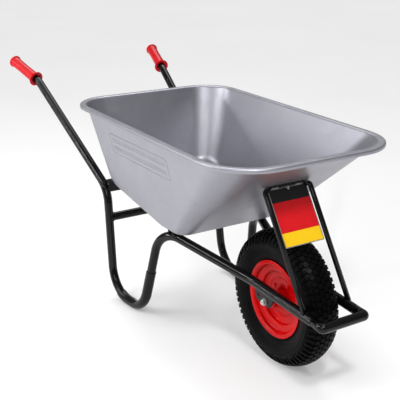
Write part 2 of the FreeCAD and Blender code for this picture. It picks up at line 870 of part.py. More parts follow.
def make_stay_bolt():
    """The bolt through the tray's front wall, the hoop and the plate's folded edge."""
    frame = stay_bolt_frame()
    bolt = carriage_bolt("stay_bolt_solid", frame, "stay_bolt_radius",
                         "stay_bolt_head_radius", "stay_bolt_length")
    keep(bolt, "stay_bolt")
    under = below_wall("3 * weld_gap + stay_flat + plate_sheet + stay_nut_height")
    keep(nut("stay_nut_solid", "stay_bolt_radius + axle_clearance", "stay_nut_radius",
             "stay_nut_height", under), "stay_nut")


# ------------------------------------------------------------ axle and brackets

AXLE = Placement(Vector(size("axle_x"), 0, size("axle_height")), Rotation())


def across_from(y):
    """A frame on the axle line whose Z points to the left of the barrow."""
    return AXLE.multiply(Placement(ACROSS * y, Rotation(UP, ACROSS)))


def make_axle_brackets():
    """A plate below each strut that holds one end of the axle."""
    for side_name, side in SIDES.items():
        body = new_body(f"axle_bracket_plate_{side_name}")
        sketch = new_sketch(body, f"axle_bracket_outline_{side_name}", "XZ_Plane")
        outline(sketch, [(corner + "_x", corner + "_z") for corner in BRACKET_CORNERS])
        circle(sketch, "0", "0", "axle_radius + axle_clearance")
        circle(sketch, "spare_hole_x", "spare_hole_z", "spare_hole_radius")
        pad(body, sketch, "2 * bracket_half", f"axle_bracket_pad_{side_name}", both_ways=True)
        doc.recompute()
        corners = [f"Edge{n}" for n, edge in enumerate(body.Shape.Edges, start=1)
                   if is_lower_corner(edge)]
        rounding = body.newObject("PartDesign::Fillet", f"axle_bracket_round_{side_name}")
        rounding.Base = (body.Group[1], corners)
        bind(rounding, Radius="bracket_corner")
        body.Placement = AXLE.multiply(Placement(ACROSS * side * size("bracket_y"), Rotation()))
        name = f"axle_bracket_{side_name}"
        keep(cut_all(name, body, [tube_tools[side_name]]), name)


def is_lower_corner(edge):
    """Whether an edge is one of the bracket's two lower corners."""
    straight = isinstance(edge.Curve, Part.Line)
    low = edge.BoundBox.ZMax < size("bracket_heel_z") / 2
    return straight and low and edge.BoundBox.YLength > edge.BoundBox.XLength


def make_axle():
    """The axle bolt with its washers, nut and spacers."""
    outer = size("bracket_y + bracket_half")
    face = outer + size("washer_thickness")
    head = hexagon("axle_head", "axle_head_radius", "axle_head_height", across_from(face))
    shank = cylinder("axle_shank", "axle_radius",
                     "2 * (bracket_y + bracket_half + washer_thickness) + axle_tail + 1",
                     across_from(-face - size("axle_tail")))
    keep(fuse("axle_bolt_solid", [head, shank]), "axle_bolt")
    keep(nut("axle_nut_solid", "axle_radius + axle_clearance", "axle_head_radius",
             "axle_nut_height", across_from(-face - size("axle_nut_height"))), "axle_nut")
    bore = "axle_radius + axle_clearance"
    washers = [ring(f"axle_washer_{n}", bore, "washer_radius", "washer_thickness",
                    across_from(start)) for n, start in enumerate((outer, -face), start=1)]
    keep(group("axle_washer_group", washers), "axle_washers")

    inner_face = size("bracket_y - bracket_half")
    race_face = size("bearing_inner")
    spacers = []
    for number, start in enumerate((race_face, -inner_face), start=1):
        spacer = ring(f"axle_spacer_{number}", bore, "spacer_radius",
                      "bracket_y - bracket_half - bearing_inner", across_from(start))
        spacers.append(spacer)
    keep(group("axle_spacer_group", spacers), "axle_spacers")
    keep(ring("inner_spacer_solid", bore, "spacer_radius", "2 * (bearing_inner - bearing_width)",
              across_from(size("bearing_width - bearing_inner"))), "inner_spacer")


def make_bearings():
    """Two ball bearings: inner races stay with the axle, the rest turns."""
    pitch = "((axle_radius + bearing_radius) / 2)"
    groove = "ball_radius + ball_clearance"
    inner_races, outer_races, balls = [], [], []
    for number, side in enumerate((1, -1), start=1):
        start = size("bearing_inner - bearing_width") if side > 0 else -size("bearing_inner")
        frame = across_from(start)
        middle = frame.multiply(Placement(UP * size("bearing_width / 2"), Rotation()))
        raceway = doc.addObject("Part::Torus", f"raceway_{number}")
        bind(raceway, Radius1=pitch, Radius2=groove)
        raceway.Placement = middle
        bore = "axle_radius + axle_clearance"
        race = ring(f"inner_race_blank_{number}", bore, "axle_radius + race_wall",
                    "bearing_width", frame)
        inner_races.append(cut(f"inner_race_{number}", race, raceway))
        race = ring(f"outer_race_blank_{number}", "bearing_radius - race_wall",
                    "bearing_radius - axle_clearance", "bearing_width", frame)
        outer_races.append(cut(f"outer_race_{number}", race, raceway))
        for index in range(int(size("ball_count"))):
            turn = Rotation(UP, 360 / size("ball_count") * index)
            ball = doc.addObject("Part::Sphere", f"ball_{number}_{index}")
            bind(ball, Radius="ball_radius")
            arm = turn.multVec(Vector(size(pitch), 0, 0))
            ball.Placement = middle.multiply(Placement(arm, Rotation()))
            balls.append(ball)
    keep(group("inner_race_group", inner_races), "bearing_inner_races")
    keep(group("outer_race_group", outer_races), "bearing_outer_races")
    keep(group("ball_group", balls), "bearing_balls")


# ----------------------------------------------------------------------- wheel

def make_hub():
    """The hub tube with its clamping flange and bearing seats, and its two seals."""
    seat = "(bearing_inner - bearing_width)"
    corners = [("hub_bore", f"-{seat}"), ("bearing_radius", f"-{seat}"),
               ("bearing_radius", "-hub_half"), ("hub_radius", "-hub_half"),
               ("hub_radius", "-hub_flange_half"), ("hub_flange_radius", "-hub_flange_half"),
               ("hub_flange_radius", "hub_flange_half"), ("hub_radius", "hub_flange_half"),
               ("hub_radius", "hub_half"), ("bearing_radius", "hub_half"),
               ("bearing_radius", seat), ("hub_bore", seat)]
    keep(cut_all("hub_shell", turned("hub_shell_body", corners, AXLE), rim_bolt_holes("hub")),
         "hub_shell")
    seals = []
    for number, side in enumerate((1, -1), start=1):
        start = size("bearing_inner") if side > 0 else -size("hub_half")
        seals.append(ring(f"hub_seal_{number}", "seal_radius", "bearing_radius - axle_clearance",
                          "hub_half - bearing_inner", across_from(start)))
    keep(group("hub_seal_group", seals), "hub_seals")


def rim_bolt_frame(number, y):
    """A frame on one of the wheel's bolt lines, at a height across the barrow."""
    angle = size("rim_bolt_angle") + 360 / size("rim_bolt_count") * number
    arm = Rotation(ACROSS, angle).multVec(Vector(size("rim_bolt_circle"), 0, 0))
    return across_from(y).multiply(Placement(Rotation(UP, ACROSS).inverted().multVec(arm),
                                             Rotation()))


def rim_bolt_holes(owner):
    reach = size("rim_bolt_length")
    return [cylinder(f"{owner}_bolt_hole_{number}", "rim_bolt_radius + bolt_hole_clearance",
                     "2 * rim_bolt_length", rim_bolt_frame(number, -reach))
            for number in range(int(size("rim_bolt_count")))]


def make_rim():
    """The two pressed halves of the rim, each with the dished disc that carries it."""
    half_gap = "weld_gap / 2"
    disc = "(hub_flange_half + weld_gap / 2)"
    corners = [
        ("hub_radius + weld_gap", disc), ("dish_inner", disc),
        ("dish_outer", "dish_face - disc_sheet"), ("disc_edge", "dish_face - disc_sheet"),
        ("well_radius - disc_corner", "dish_face - disc_sheet - disc_corner"),
        ("well_radius - disc_corner", half_gap),
        ("well_radius", half_gap), ("well_radius", "well_half"),
        ("bead_radius", "bead_inner"), ("bead_radius + bead_rise", "bead_outer"),
        ("bead_radius + flange_foot_rise", "rim_flange_half - flange_foot_back"),
        ("rim_flange_radius", "rim_flange_half"),
        ("rim_flange_radius", "rim_flange_half + rim_sheet"),
        ("bead_radius + flange_back_rise", "rim_flange_half + rim_sheet - flange_back_drop"),
        ("bead_radius - rim_sheet + bead_rise", "bead_outer + bead_back"),
        ("bead_radius - rim_sheet", "bead_inner + rim_sheet - bead_foot_back"),
        ("well_radius - rim_sheet", "well_half + rim_sheet * well_back_share"),
        ("well_radius - rim_sheet", "dish_face"), ("disc_edge + dish_fold", "dish_face"),
        ("dish_outer - dish_fold", "dish_face"),
        ("dish_inner - dish_fold", f"{disc} + disc_sheet"),
        ("hub_radius + weld_gap", f"{disc} + disc_sheet"),
    ]
    for side_name, side in SIDES.items():
        facing = [(radius, f"{side} * ({y})") for radius, y in corners]
        pressing = turned(f"rim_{side_name}_body", facing, AXLE)
        holes = rim_bolt_holes(f"rim_{side_name}")
        if side > 0:
            holes.append(valve_hole())
        keep(cut_all(f"rim_half_{side_name}", pressing, holes), f"rim_half_{side_name}")


def make_rim_bolts():
    """The bolts and nuts that clamp the two rim halves on the hub's flange."""
    face = size("hub_flange_half + weld_gap / 2 + disc_sheet")
    bolts, nuts = [], []
    for number in range(int(size("rim_bolt_count"))):
        head_top = -face - size("rim_bolt_head")
        head = hexagon(f"rim_bolt_head_{number}", "rim_bolt_head_radius", "rim_bolt_head",
                       rim_bolt_frame(number, head_top))
        shank = cylinder(f"rim_bolt_shank_{number}", "rim_bolt_radius", "rim_bolt_length",
                         rim_bolt_frame(number, head_top + 1))
        bolts.append(fuse(f"rim_bolt_{number}", [head, shank]))
        nuts.append(nut(f"rim_nut_{number}", "rim_bolt_radius + axle_clearance",
                        "rim_bolt_head_radius", "rim_nut_height", rim_bolt_frame(number, face)))
    keep(group("rim_bolt_group", bolts), "rim_bolts")
    keep(group("rim_nut_group", nuts), "rim_nuts")


def valve_frame(radius):
    """A frame on the valve's line at a distance from the axle, pointing outwards."""
    turn = Rotation(ACROSS, size("valve_angle"))
    arm = turn.multVec(UP) * radius
    return AXLE.multiply(Placement(arm + ACROSS * size("valve_y"), turn))


def valve_hole():
    low = size("well_radius - 3 * rim_sheet")
    return cylinder("valve_hole", "valve_radius + bolt_hole_clearance", "6 * rim_sheet",
                    valve_frame(low))


def make_tyre():
    """The tyre as a ring open towards the rim, and the inflated tube inside it."""
    right_side = [
        ("bead_radius + tyre_bead_gap", "-bead_inner - tyre_bead_gap", "cavity_side_arc"),
        ("widest_radius", "-(tyre_half - tyre_wall)", "cavity_shoulder_arc"),
        ("shoulder_radius - tyre_wall", "-(shoulder_half - crown_cover)", "cavity_crown_arc"),
    ]
    right_skin = [
        ("shoulder_radius", "-shoulder_half", "shoulder_arc", CLOCKWISE),
        ("widest_radius", "-tyre_half", "side_arc", CLOCKWISE),
        ("rim_flange_radius + tyre_lip_rise", "-(rim_flange_half - tyre_lip_back)"),
        ("bead_radius + tyre_seat_rise", "-(rim_flange_half - tyre_seat_back)"),
        ("bead_radius + tyre_bead_gap", "-(bead_outer - tyre_toe_gap)"),
    ]
    left_side = [
        ("shoulder_radius - tyre_wall", "shoulder_half - crown_cover",
         "cavity_shoulder_arc"),
        ("widest_radius", "tyre_half - tyre_wall", "cavity_side_arc"),
        ("bead_radius + tyre_bead_gap", "bead_inner + tyre_bead_gap"),
        ("bead_radius + tyre_bead_gap", "bead_outer - tyre_toe_gap"),
        ("bead_radius + tyre_seat_rise", "rim_flange_half - tyre_seat_back"),
        ("rim_flange_radius + tyre_lip_rise", "rim_flange_half - tyre_lip_back", "side_arc",
         CLOCKWISE),
        ("widest_radius", "tyre_half", "shoulder_arc", CLOCKWISE),
        ("shoulder_radius", "shoulder_half", "crown_arc", CLOCKWISE),
    ]
    keep(turned("tyre_body", right_side + left_side + right_skin, AXLE), "tyre")

    skin = []
    for name, radius in (("inner_tube_outside", "tube_section"),
                         ("inner_tube_inside", "tube_section - tube_skin")):
        torus = doc.addObject("Part::Torus", name)
        bind(torus, Radius1="tube_centre", Radius2=radius)
        torus.Placement = across_from(0)
        skin.append(torus)
    keep(cut("inner_tube_ring", skin[0], skin[1]), "inner_tube")


def make_valve():
    """The valve stem through the rim's drop centre, and its cap."""
    length = "valve_top - valve_tip"
    stem = cylinder("valve_stem_solid", "valve_radius", length, valve_frame(size("valve_tip")))
    keep(stem, "valve_stem")
    cap_foot = valve_frame(size("valve_tip - valve_cap_height"))
    keep(cylinder("valve_cap_solid", "valve_radius + valve_cap_wall",
                  "valve_cap_height", cap_foot), "valve_cap")


# ----------------------------------------------------------------------- grips

def make_grips():
    """A moulded grip on each handle, open towards the tray."""
    for side_name, side in SIDES.items():
        flange = "grip_length - grip_flange"
        waist = "grip_radius + grip_swell"
        corners = [("0", "0"), ("grip_end_radius - grip_end_round", "0"),
                   ("grip_end_radius", "grip_end_round"), ("grip_end_radius", "grip_end"),
                   (waist, "grip_end + grip_end_round"), ("grip_radius", "grip_length / 2"),
                   (waist, f"{flange} - grip_flange_slope"), ("grip_flange_radius", flange),
                   ("grip_flange_radius", "grip_length"),
                   ("tube_radius + grip_mouth_gap", "grip_length"),
                   ("tube_radius + grip_mouth_gap", "grip_length - grip_mouth_depth"),
                   ("tube_radius + grip_fit", "grip_length - grip_mouth_depth"),
                   ("tube_radius + grip_fit", "tube_inset"), ("0", "tube_inset")]
        turn = Rotation(ACROSS, grip_heading(side))
        place = Placement(bend_point("handle_end", side), turn)
        keep(turned(f"grip_{side_name}_body", corners, place), f"grip_{side_name}")


# ---------------------------------------------------------------------- export

def check_and_export():
    """Stop at any failed object or bad shape, then write one file per sub-part."""
    doc.recompute()
    failed = [item.Name for item in doc.Objects
              if {"Invalid", "Error"} & set(item.State)]
    if failed:
        raise RuntimeError(f"objects not built: {failed}")
    for item in sub_parts:
        shape = item.Shape
        if shape.isNull() or not shape.isValid() or not shape.Solids:
            raise RuntimeError(f"bad shape: {item.Label}")
    os.makedirs("parts", exist_ok=True)
    for item in sub_parts:
        item.Shape.exportStep(f"parts/{item.Label}.step")


make_frame_tubes()
make_leg_shoes()
make_cross_members()
make_tray()
make_tray_bolts()
make_front_stay()
make_name_plate()
make_stay_bolt()
make_axle_brackets()
make_axle()
make_bearings()
make_hub()
make_rim()
make_rim_bolts()
make_tyre()
make_valve()
make_grips()
check_and_export()
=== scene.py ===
"""The looks of a steel wheelbarrow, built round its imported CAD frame.

Metres.  +X points forward, from the handles to the wheel, and +Z up.
"""

import json
import math
import random

import bmesh
import bpy
from mathutils import Matrix, Vector


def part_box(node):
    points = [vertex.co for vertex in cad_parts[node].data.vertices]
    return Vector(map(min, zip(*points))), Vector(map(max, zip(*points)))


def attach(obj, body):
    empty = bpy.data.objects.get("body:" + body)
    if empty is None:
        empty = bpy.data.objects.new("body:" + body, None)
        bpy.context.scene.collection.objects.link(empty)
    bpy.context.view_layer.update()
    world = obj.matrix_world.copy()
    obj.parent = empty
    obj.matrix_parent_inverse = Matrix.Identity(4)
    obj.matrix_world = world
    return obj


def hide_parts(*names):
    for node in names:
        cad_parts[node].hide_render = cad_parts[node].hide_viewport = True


MM = 0.001
TUBE_RADIUS = 14 * MM
RIGHT, LEFT = -1, 1
SIDES = ((LEFT, "left"), (RIGHT, "right"))
MIRROR = Vector((1, -1, 1))
UP = Vector((0, 0, 1))
CORNER_SHARE = 0.49

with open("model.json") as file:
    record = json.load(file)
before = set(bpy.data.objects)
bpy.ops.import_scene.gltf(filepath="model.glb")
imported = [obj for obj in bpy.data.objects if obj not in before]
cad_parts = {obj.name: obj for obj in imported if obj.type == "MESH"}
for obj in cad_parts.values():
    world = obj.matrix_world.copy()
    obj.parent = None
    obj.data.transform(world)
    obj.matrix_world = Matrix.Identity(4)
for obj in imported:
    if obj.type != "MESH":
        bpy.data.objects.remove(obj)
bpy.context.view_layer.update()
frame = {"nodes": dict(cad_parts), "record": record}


# ------------------------------------------------------------------ geometry

def box_middle(node):
    """The middle of a CAD node's box."""
    low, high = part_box(node)
    return (low + high) / 2


def mesh_object(name, vertices, faces, material, smooth=True):
    """A mesh object from lists of vertices and faces."""
    mesh = bpy.data.meshes.new(name)
    mesh.from_pydata([tuple(v) for v in vertices], [], faces)
    mesh.validate()
    mesh.materials.append(material)
    if smooth:
        mesh.polygons.foreach_set("use_smooth", [True] * len(mesh.polygons))
    thing = bpy.data.objects.new(name, mesh)
    bpy.context.scene.collection.objects.link(thing)
    return thing


def finish_piece(thing, body, replaces=()):
    """Give a piece its body and the CAD nodes it stands for."""
    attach(thing, body)
    if replaces:
        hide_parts(*replaces)


def grid_faces(rows, columns, close_rows=False, close_columns=False):
    """Quads between neighbouring rows and columns of a grid of vertices."""
    faces = []
    for row in range(rows if close_rows else rows - 1):
        below, above = row * columns, (row + 1) % rows * columns
        for column in range(columns if close_columns else columns - 1):
            after = (column + 1) % columns
            faces.append((below + column, below + after, above + after, above + column))
    return faces


def rounded(points, radii, steps=6):
    """A polyline with its inner corners rounded, each with the same number of steps."""
    points = [Vector(p) for p in points]
    result = [points[0]]
    for before, corner, after, radius in zip(points, points[1:], points[2:], radii):
        inward, onward = corner - before, after - corner
        turn = inward.angle(onward, 0.0)
        setback = radius * math.tan(turn / 2)
        setback = min(setback, inward.length * CORNER_SHARE, onward.length * CORNER_SHARE)
        start = corner - inward.normalized() * setback
        end = corner + onward.normalized() * setback
        for step in range(steps + 1):
            share = step / steps
            first = start.lerp(corner, share)
            second = corner.lerp(end, share)
            result.append(first.lerp(second, share))
    result.append(points[-1])
    return result


def heading_at(path, number):
    """The direction of a path at one of its points."""
    return (path[min(number + 1, len(path) - 1)] - path[max(number - 1, 0)]).normalized()


def turned(profile, centre, steps):
    """Vertices of (radius, y) points turned about the line through centre along Y."""
    vertices = []
    for step in range(steps):
        angle = 2 * math.pi * step / steps
        vertices += [(centre.x + radius * math.cos(angle), centre.y + y,
                      centre.z + radius * math.sin(angle)) for radius, y in profile]
    return vertices


def aligned(origin, axis, across=Vector((0, 1, 0))):
    """A frame at origin whose Z runs along axis and whose Y lies close to across."""
    z = Vector(axis).normalized()
    x = Vector(across).cross(z).normalized()
    y = z.cross(x)
    turn = Matrix((x, y, z)).transposed().to_4x4()
    return Matrix.Translation(origin) @ turn


def lathe(profile, steps):
    """Vertices and faces turned about local Z from (radius, z) points."""
    vertices = []
    for step in range(steps):
        angle = 2 * math.pi * step / steps
        vertices += [(radius * math.cos(angle), radius * math.sin(angle), z)
                     for radius, z in profile]
    return vertices, grid_faces(steps, len(profile), close_rows=True)


def tube_along(points, sections):
    """Vertices and faces of a capped tube: one ring of (across, up) offsets at every point.

    Each section gives the ring's two axes and its offsets along them.
    """
    vertices, count = [], len(sections[0][2])
    for point, (first, second, offsets) in zip(points, sections):
        vertices += [point + first * a + second * b for a, b in offsets]
    faces = grid_faces(len(points), count, close_columns=True)
    faces.append(tuple(range(count))[::-1])
    faces.append(tuple(range(len(vertices) - count, len(vertices))))
    return vertices, faces


def circle_offsets(radius, steps):
    """(across, up) offsets round a circle."""
    angles = [2 * math.pi * step / steps for step in range(steps)]
    return [(radius * math.cos(angle), radius * math.sin(angle)) for angle in angles]


def in_metres(*points):
    """(radius, y) points from millimetres."""
    return [(radius * MM, y * MM) for radius, y in points]


def add_part(vertices, faces, more_vertices, more_faces):
    """Add one part's vertices and faces to lists that already hold others."""
    base = len(vertices)
    vertices += more_vertices
    faces += [tuple(base + index for index in face) for face in more_faces]


def joined(name, parts, material, smooth_angle=35):
    """One mesh from several (vertices, faces, matrix) parts, with crisp edges kept."""
    vertices, faces = [], []
    for part_vertices, part_faces, matrix in parts:
        add_part(vertices, faces, [matrix @ Vector(v) for v in part_vertices], part_faces)
    thing = mesh_object(name, vertices, faces, material)
    repair_normals(thing, merge=True)
    thing.data.set_sharp_from_angle(angle=math.radians(smooth_angle))
    return thing


def repair_normals(thing, merge=False):
    """Turn every face of each closed island outwards, after merging coincident vertices."""
    work = bmesh.new()
    work.from_mesh(thing.data)
    if merge:
        bmesh.ops.remove_doubles(work, verts=work.verts, dist=0.001 * MM)
    bmesh.ops.recalc_face_normals(work, faces=work.faces)
    work.to_mesh(thing.data)
    work.free()


def soften(thing, width):
    """Round the sharp edges of a piece."""
    bevel = thing.modifiers.new("edges", "BEVEL")
    bevel.width = width
    bevel.segments = 3
    bevel.limit_method = "ANGLE"
    bevel.angle_limit = math.radians(30)


# ----------------------------------------------------------------- materials

NOISE_SPREAD = (0.3, 0.7)


class Material:
    """A Principled material and short ways to add nodes to it."""

    def __init__(self, name, **sockets):
        self.material = bpy.data.materials.new(name)
        self.material.use_nodes = True
        self.tree = self.material.node_tree
        self.shader = self.tree.nodes["Principled BSDF"]
        self.place = self.add("ShaderNodeTexCoord").outputs["Object"]
        for socket, value in sockets.items():
            self.shader.inputs[socket.replace("_", " ")].default_value = value

    def add(self, kind, **settings):
        """A new node with some of its settings changed."""
        node = self.tree.nodes.new(kind)
        for name, value in settings.items():
            setattr(node, name, value)
        return node

    def link(self, source, target):
        """Join an output to an input."""
        self.tree.links.new(source, target)

    def noise(self, scale, detail, roughness=0.5):
        """The value of a noise over the object's own coordinates."""
        node = self.add("ShaderNodeTexNoise")
        node.inputs["Scale"].default_value = scale
        node.inputs["Detail"].default_value = detail
        node.inputs["Roughness"].default_value = roughness
        self.link(self.place, node.inputs["Vector"])
        return node.outputs["Fac"]

    def ramp(self, value, stops):
        """A colour ramp from (position, colour) stops."""
        node = self.add("ShaderNodeValToRGB")
        elements = node.color_ramp.elements
        while len(elements) < len(stops):
            elements.new(0.5)
        for element, (position, colour) in zip(elements, stops):
            element.position = position
            element.color = (*colour, 1)
        self.link(value, node.inputs["Fac"])
        return node.outputs["Color"]

    def colour(self, source):
        """Drive the base colour."""
        self.link(source, self.shader.inputs["Base Color"])

    def mottle(self, value, dark, light, stops=NOISE_SPREAD):
        """Shift the base colour between two colours along a value."""
        self.colour(self.ramp(value, list(zip(stops, (dark, light)))))

    def rough(self, value, low, high):
        """Shift the roughness between two values over a noise's usual spread."""
        node = self.add("ShaderNodeMapRange")
        node.inputs["From Min"].default_value, node.inputs["From Max"].default_value = NOISE_SPREAD
        node.inputs["To Min"].default_value = low
        node.inputs["To Max"].default_value = high
        self.link(value, node.inputs["Value"])
        self.link(node.outputs["Result"], self.shader.inputs["Roughness"])

    def bump(self, value, strength, distance):
        """Add a height on top of those already there."""
        node = self.add("ShaderNodeBump")
        node.inputs["Strength"].default_value = strength
        node.inputs["Distance"].default_value = distance
        self.link(value, node.inputs["Height"])
        if self.shader.inputs["Normal"].links:
            self.link(self.shader.inputs["Normal"].links[0].from_socket, node.inputs["Normal"])
        self.link(node.outputs["Normal"], self.shader.inputs["Normal"])


def black_paint():
    """Gloss black powder coat with a fine orange peel and a slight mottle."""
    m = Material("black_powder_coat", Metallic=0.0, Specular_IOR_Level=0.26)
    m.mottle(m.noise(scale=14, detail=5), (0.0015, 0.0015, 0.0018), (0.0035, 0.0035, 0.004))
    m.rough(m.noise(scale=38, detail=5), 0.09, 0.15)
    m.bump(m.noise(scale=900, detail=2), strength=0.06, distance=0.3 * MM)
    m.bump(m.noise(scale=120, detail=3), strength=0.03, distance=0.6 * MM)
    return m.material


def tray_steel():
    """Satin zinc-coated sheet: faint spangle, an uneven shine and very shallow waves."""
    m = Material("tray_steel", Metallic=0.86)
    cells = m.add("ShaderNodeTexVoronoi")
    cells.inputs["Scale"].default_value = 95
    m.link(m.place, cells.inputs["Vector"])
    tint = m.ramp(m.noise(scale=6, detail=5),
                  [(0.25, (0.325, 0.325, 0.365)), (0.75, (0.365, 0.365, 0.405))])
    spangle = m.ramp(cells.outputs["Color"], [(0.0, (0.955, 0.955, 0.96)), (1.0, (1, 1, 1))])
    mix = m.add("ShaderNodeMix", data_type="RGBA", blend_type="MULTIPLY")
    mix.inputs["Factor"].default_value = 1
    m.link(tint, mix.inputs["A"])
    m.link(spangle, mix.inputs["B"])
    m.colour(mix.outputs["Result"])
    m.rough(m.noise(scale=24, detail=6, roughness=0.6), 0.36, 0.46)
    m.bump(m.noise(scale=420, detail=3), strength=0.06, distance=0.2 * MM)
    m.bump(m.noise(scale=7, detail=2), strength=0.10, distance=2 * MM)
    return m.material


def gloss_paint(name, dark, light, low, high, shine):
    """A gloss paint with a slight shift of colour, orange peel and soft smears."""
    m = Material(name, Metallic=0.0, Specular_IOR_Level=shine)
    m.mottle(m.noise(scale=22, detail=5), dark, light)
    m.rough(m.noise(scale=55, detail=5), low, high)
    m.bump(m.noise(scale=700, detail=2), strength=0.10, distance=0.3 * MM)
    return m.material


def rubber(name, dark, light, low, high):
    """Moulded rubber with a fine grain and dusty patches."""
    m = Material(name, Metallic=0.0, Specular_IOR_Level=0.05)
    m.mottle(m.noise(scale=26, detail=6, roughness=0.6), dark, light, stops=(0.3, 0.72))
    m.rough(m.noise(scale=70, detail=5), low, high)
    m.bump(m.noise(scale=1400, detail=3), strength=0.2, distance=0.3 * MM)
    m.bump(m.noise(scale=160, detail=3), strength=0.2, distance=0.5 * MM)
    return m.material


def bare_metal(name, dark, light, low, high):
    """Plated or ground metal with fine turning marks and a mottled shine."""
    m = Material(name, Metallic=1.0)
    m.mottle(m.noise(scale=160, detail=5), dark, light)
    m.rough(m.noise(scale=420, detail=5), low, high)
    m.bump(m.noise(scale=1500, detail=3), strength=0.15, distance=0.15 * MM)
    return m.material


def printed(name, dark, light):
    """Printed sheet under clear varnish."""
    m = Material(name, Metallic=0.0, Specular_IOR_Level=0.3)
    m.mottle(m.noise(scale=60, detail=4), dark, light)
    m.rough(m.noise(scale=90, detail=5), 0.28, 0.42)
    m.bump(m.noise(scale=500, detail=2), strength=0.05, distance=0.2 * MM)
    return m.material


BLACK = black_paint()
TRAY = tray_steel()
RIM_RED = gloss_paint("rim_red_paint", (0.50, 0.001, 0.002), (0.60, 0.002, 0.003),
                      0.16, 0.28, 0.14)
GRIP_RED = gloss_paint("grip_red", (0.50, 0.004, 0.009), (0.60, 0.007, 0.014),
                       0.26, 0.40, 0.18)
TYRE = rubber("tyre_rubber", (0.0012, 0.0012, 0.0013), (0.0030, 0.0030, 0.0033), 0.32, 0.44)
SEAL = rubber("seal_rubber", (0.006, 0.006, 0.006), (0.011, 0.011, 0.011), 0.4, 0.55)
ZINC = bare_metal("zinc_plate", (0.52, 0.52, 0.50), (0.68, 0.68, 0.66), 0.22, 0.42)
STEEL = bare_metal("ground_steel", (0.45, 0.46, 0.48), (0.58, 0.59, 0.61), 0.18, 0.35)
BRASS = bare_metal("brass", (0.55, 0.38, 0.14), (0.70, 0.50, 0.22), 0.25, 0.42)
PLATE_BLACK = printed("plate_black", (0.008, 0.008, 0.009), (0.014, 0.014, 0.015))
PLATE_RED = printed("plate_red", (0.68, 0.006, 0.010), (0.74, 0.008, 0.014))
PLATE_YELLOW = printed("plate_yellow", (1.0, 0.60, 0.006), (1.0, 0.64, 0.010))

CAD_FINISH = {"frame_paint": BLACK, "tray_steel": TRAY, "zinc": ZINC, "plate_print": PLATE_BLACK,
              "grip_plastic": GRIP_RED, "bearing_steel": STEEL, "rim_paint": RIM_RED,
              "seal_rubber": SEAL, "tyre_rubber": TYRE, "tube_rubber": SEAL,
              "brass_stem": BRASS, "cap_plastic": SEAL}


def paint_cad_nodes():
    """Put this script's materials on every CAD node, by its slot in the record."""
    for part in frame["record"]["subparts"]:
        node = frame["nodes"][part["node"]]
        node.data.materials.clear()
        node.data.materials.append(CAD_FINISH[part["material_slot"]])


# ---------------------------------------------------------------------- tyre

AXLE = box_middle("tyre")
TYRE_RADIUS = (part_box("tyre")[1].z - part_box("tyre")[0].z) / 2
CROWN_ARC, CROWN_HALF = 70 * MM, 42 * MM
CROWN_CENTRE = TYRE_RADIUS - CROWN_ARC
CROWN_EDGE = math.asin(CROWN_HALF / CROWN_ARC)
SHOULDER_ARC, SHOULDER_CENTRE = 56.6 * MM, (157.0 * MM, -6.6 * MM)
SHOULDER_START = math.atan2(48.6, 29)
SIDE_ARC, SIDE_CENTRE = 64.3 * MM, (157.0 * MM, -14.3 * MM)
SIDE_FOOT = 115.5 * MM
TREAD_DEPTH = 5.5 * MM
LUGS = 64


def tyre_skin(along, depth=0.0):
    """The tyre's outer skin as (radius, y) at a distance from the crown, less a depth."""
    side = -1 if along < 0 else 1
    run = abs(along)
    crown_run = CROWN_ARC * CROWN_EDGE
    if run < crown_run:
        angle = run / CROWN_ARC
        reach = CROWN_ARC - depth
        return CROWN_CENTRE + reach * math.cos(angle), side * reach * math.sin(angle)
    angle = SHOULDER_START + (run - crown_run) / SHOULDER_ARC
    reach = SHOULDER_ARC - depth
    return (SHOULDER_CENTRE[0] + reach * math.cos(angle),
            side * (SHOULDER_CENTRE[1] + reach * math.sin(angle)))


def lug(corners, top, chamfer, base):
    """A tread block over a convex outline of (angle round, distance from crown) corners."""
    foot_size, top_size = 1.03, 0.88
    middle_around = sum(around for around, _ in corners) / len(corners)
    middle_along = sum(along for _, along in corners) / len(corners)
    vertices = []
    for depth, size in ((base, foot_size), (top + chamfer, 1.0), (top, top_size)):
        for around, along in corners:
            angle = middle_around + (around - middle_around) * size
            radius, y = tyre_skin(middle_along + (along - middle_along) * size, depth)
            vertices.append((AXLE.x + radius * math.cos(angle), y,
                             AXLE.z + radius * math.sin(angle)))
    count = len(corners)
    faces = grid_faces(3, count, close_columns=True)
    faces += [tuple(range(count))[::-1], tuple(range(2 * count, 3 * count))]
    return vertices, faces


def carcass_ring():
    """The carcass's closed section, with thin ribs on the sidewalls, as (radius, y) points."""
    crown_steps, side_steps = 12, 33
    half = [tyre_skin(CROWN_ARC * CROWN_EDGE * step / crown_steps, TREAD_DEPTH)
            for step in range(crown_steps + 1)]
    half += in_metres((176, 42.4), (169.5, 45.8), (164, 48.0), (161.8, 49.5), (160, 49.6),
                      (158.6, 49.1))
    side_drop, rib_width = 0.9, 1.1
    ribs = ((148.5, 0.7), (128, 0.6), (120.5, 0.9))
    side_start = math.pi / 2
    side_end = math.acos((SIDE_FOOT - SIDE_CENTRE[0]) / SIDE_ARC)
    for step in range(1, side_steps + 1):
        angle = side_start + (side_end - side_start) * step / side_steps
        radius = SIDE_CENTRE[0] + SIDE_ARC * math.cos(angle)
        lift = sum(height * math.exp(-((radius / MM - place) / rib_width) ** 2)
                   for place, height in ribs)
        reach = SIDE_ARC + (lift - side_drop) * MM
        half.append((SIDE_CENTRE[0] + reach * math.cos(angle),
                     SIDE_CENTRE[1] + reach * math.sin(angle)))
    half += in_metres((112, 33.2), (105, 33.0), (102.2, 30.5), (102.2, 22.5))
    inside = in_metres((155, 43), (178, 36), (190, 12))
    return (half + inside + [(radius, -y) for radius, y in reversed(inside)]
            + [(radius, -y) for radius, y in reversed(half[1:])])


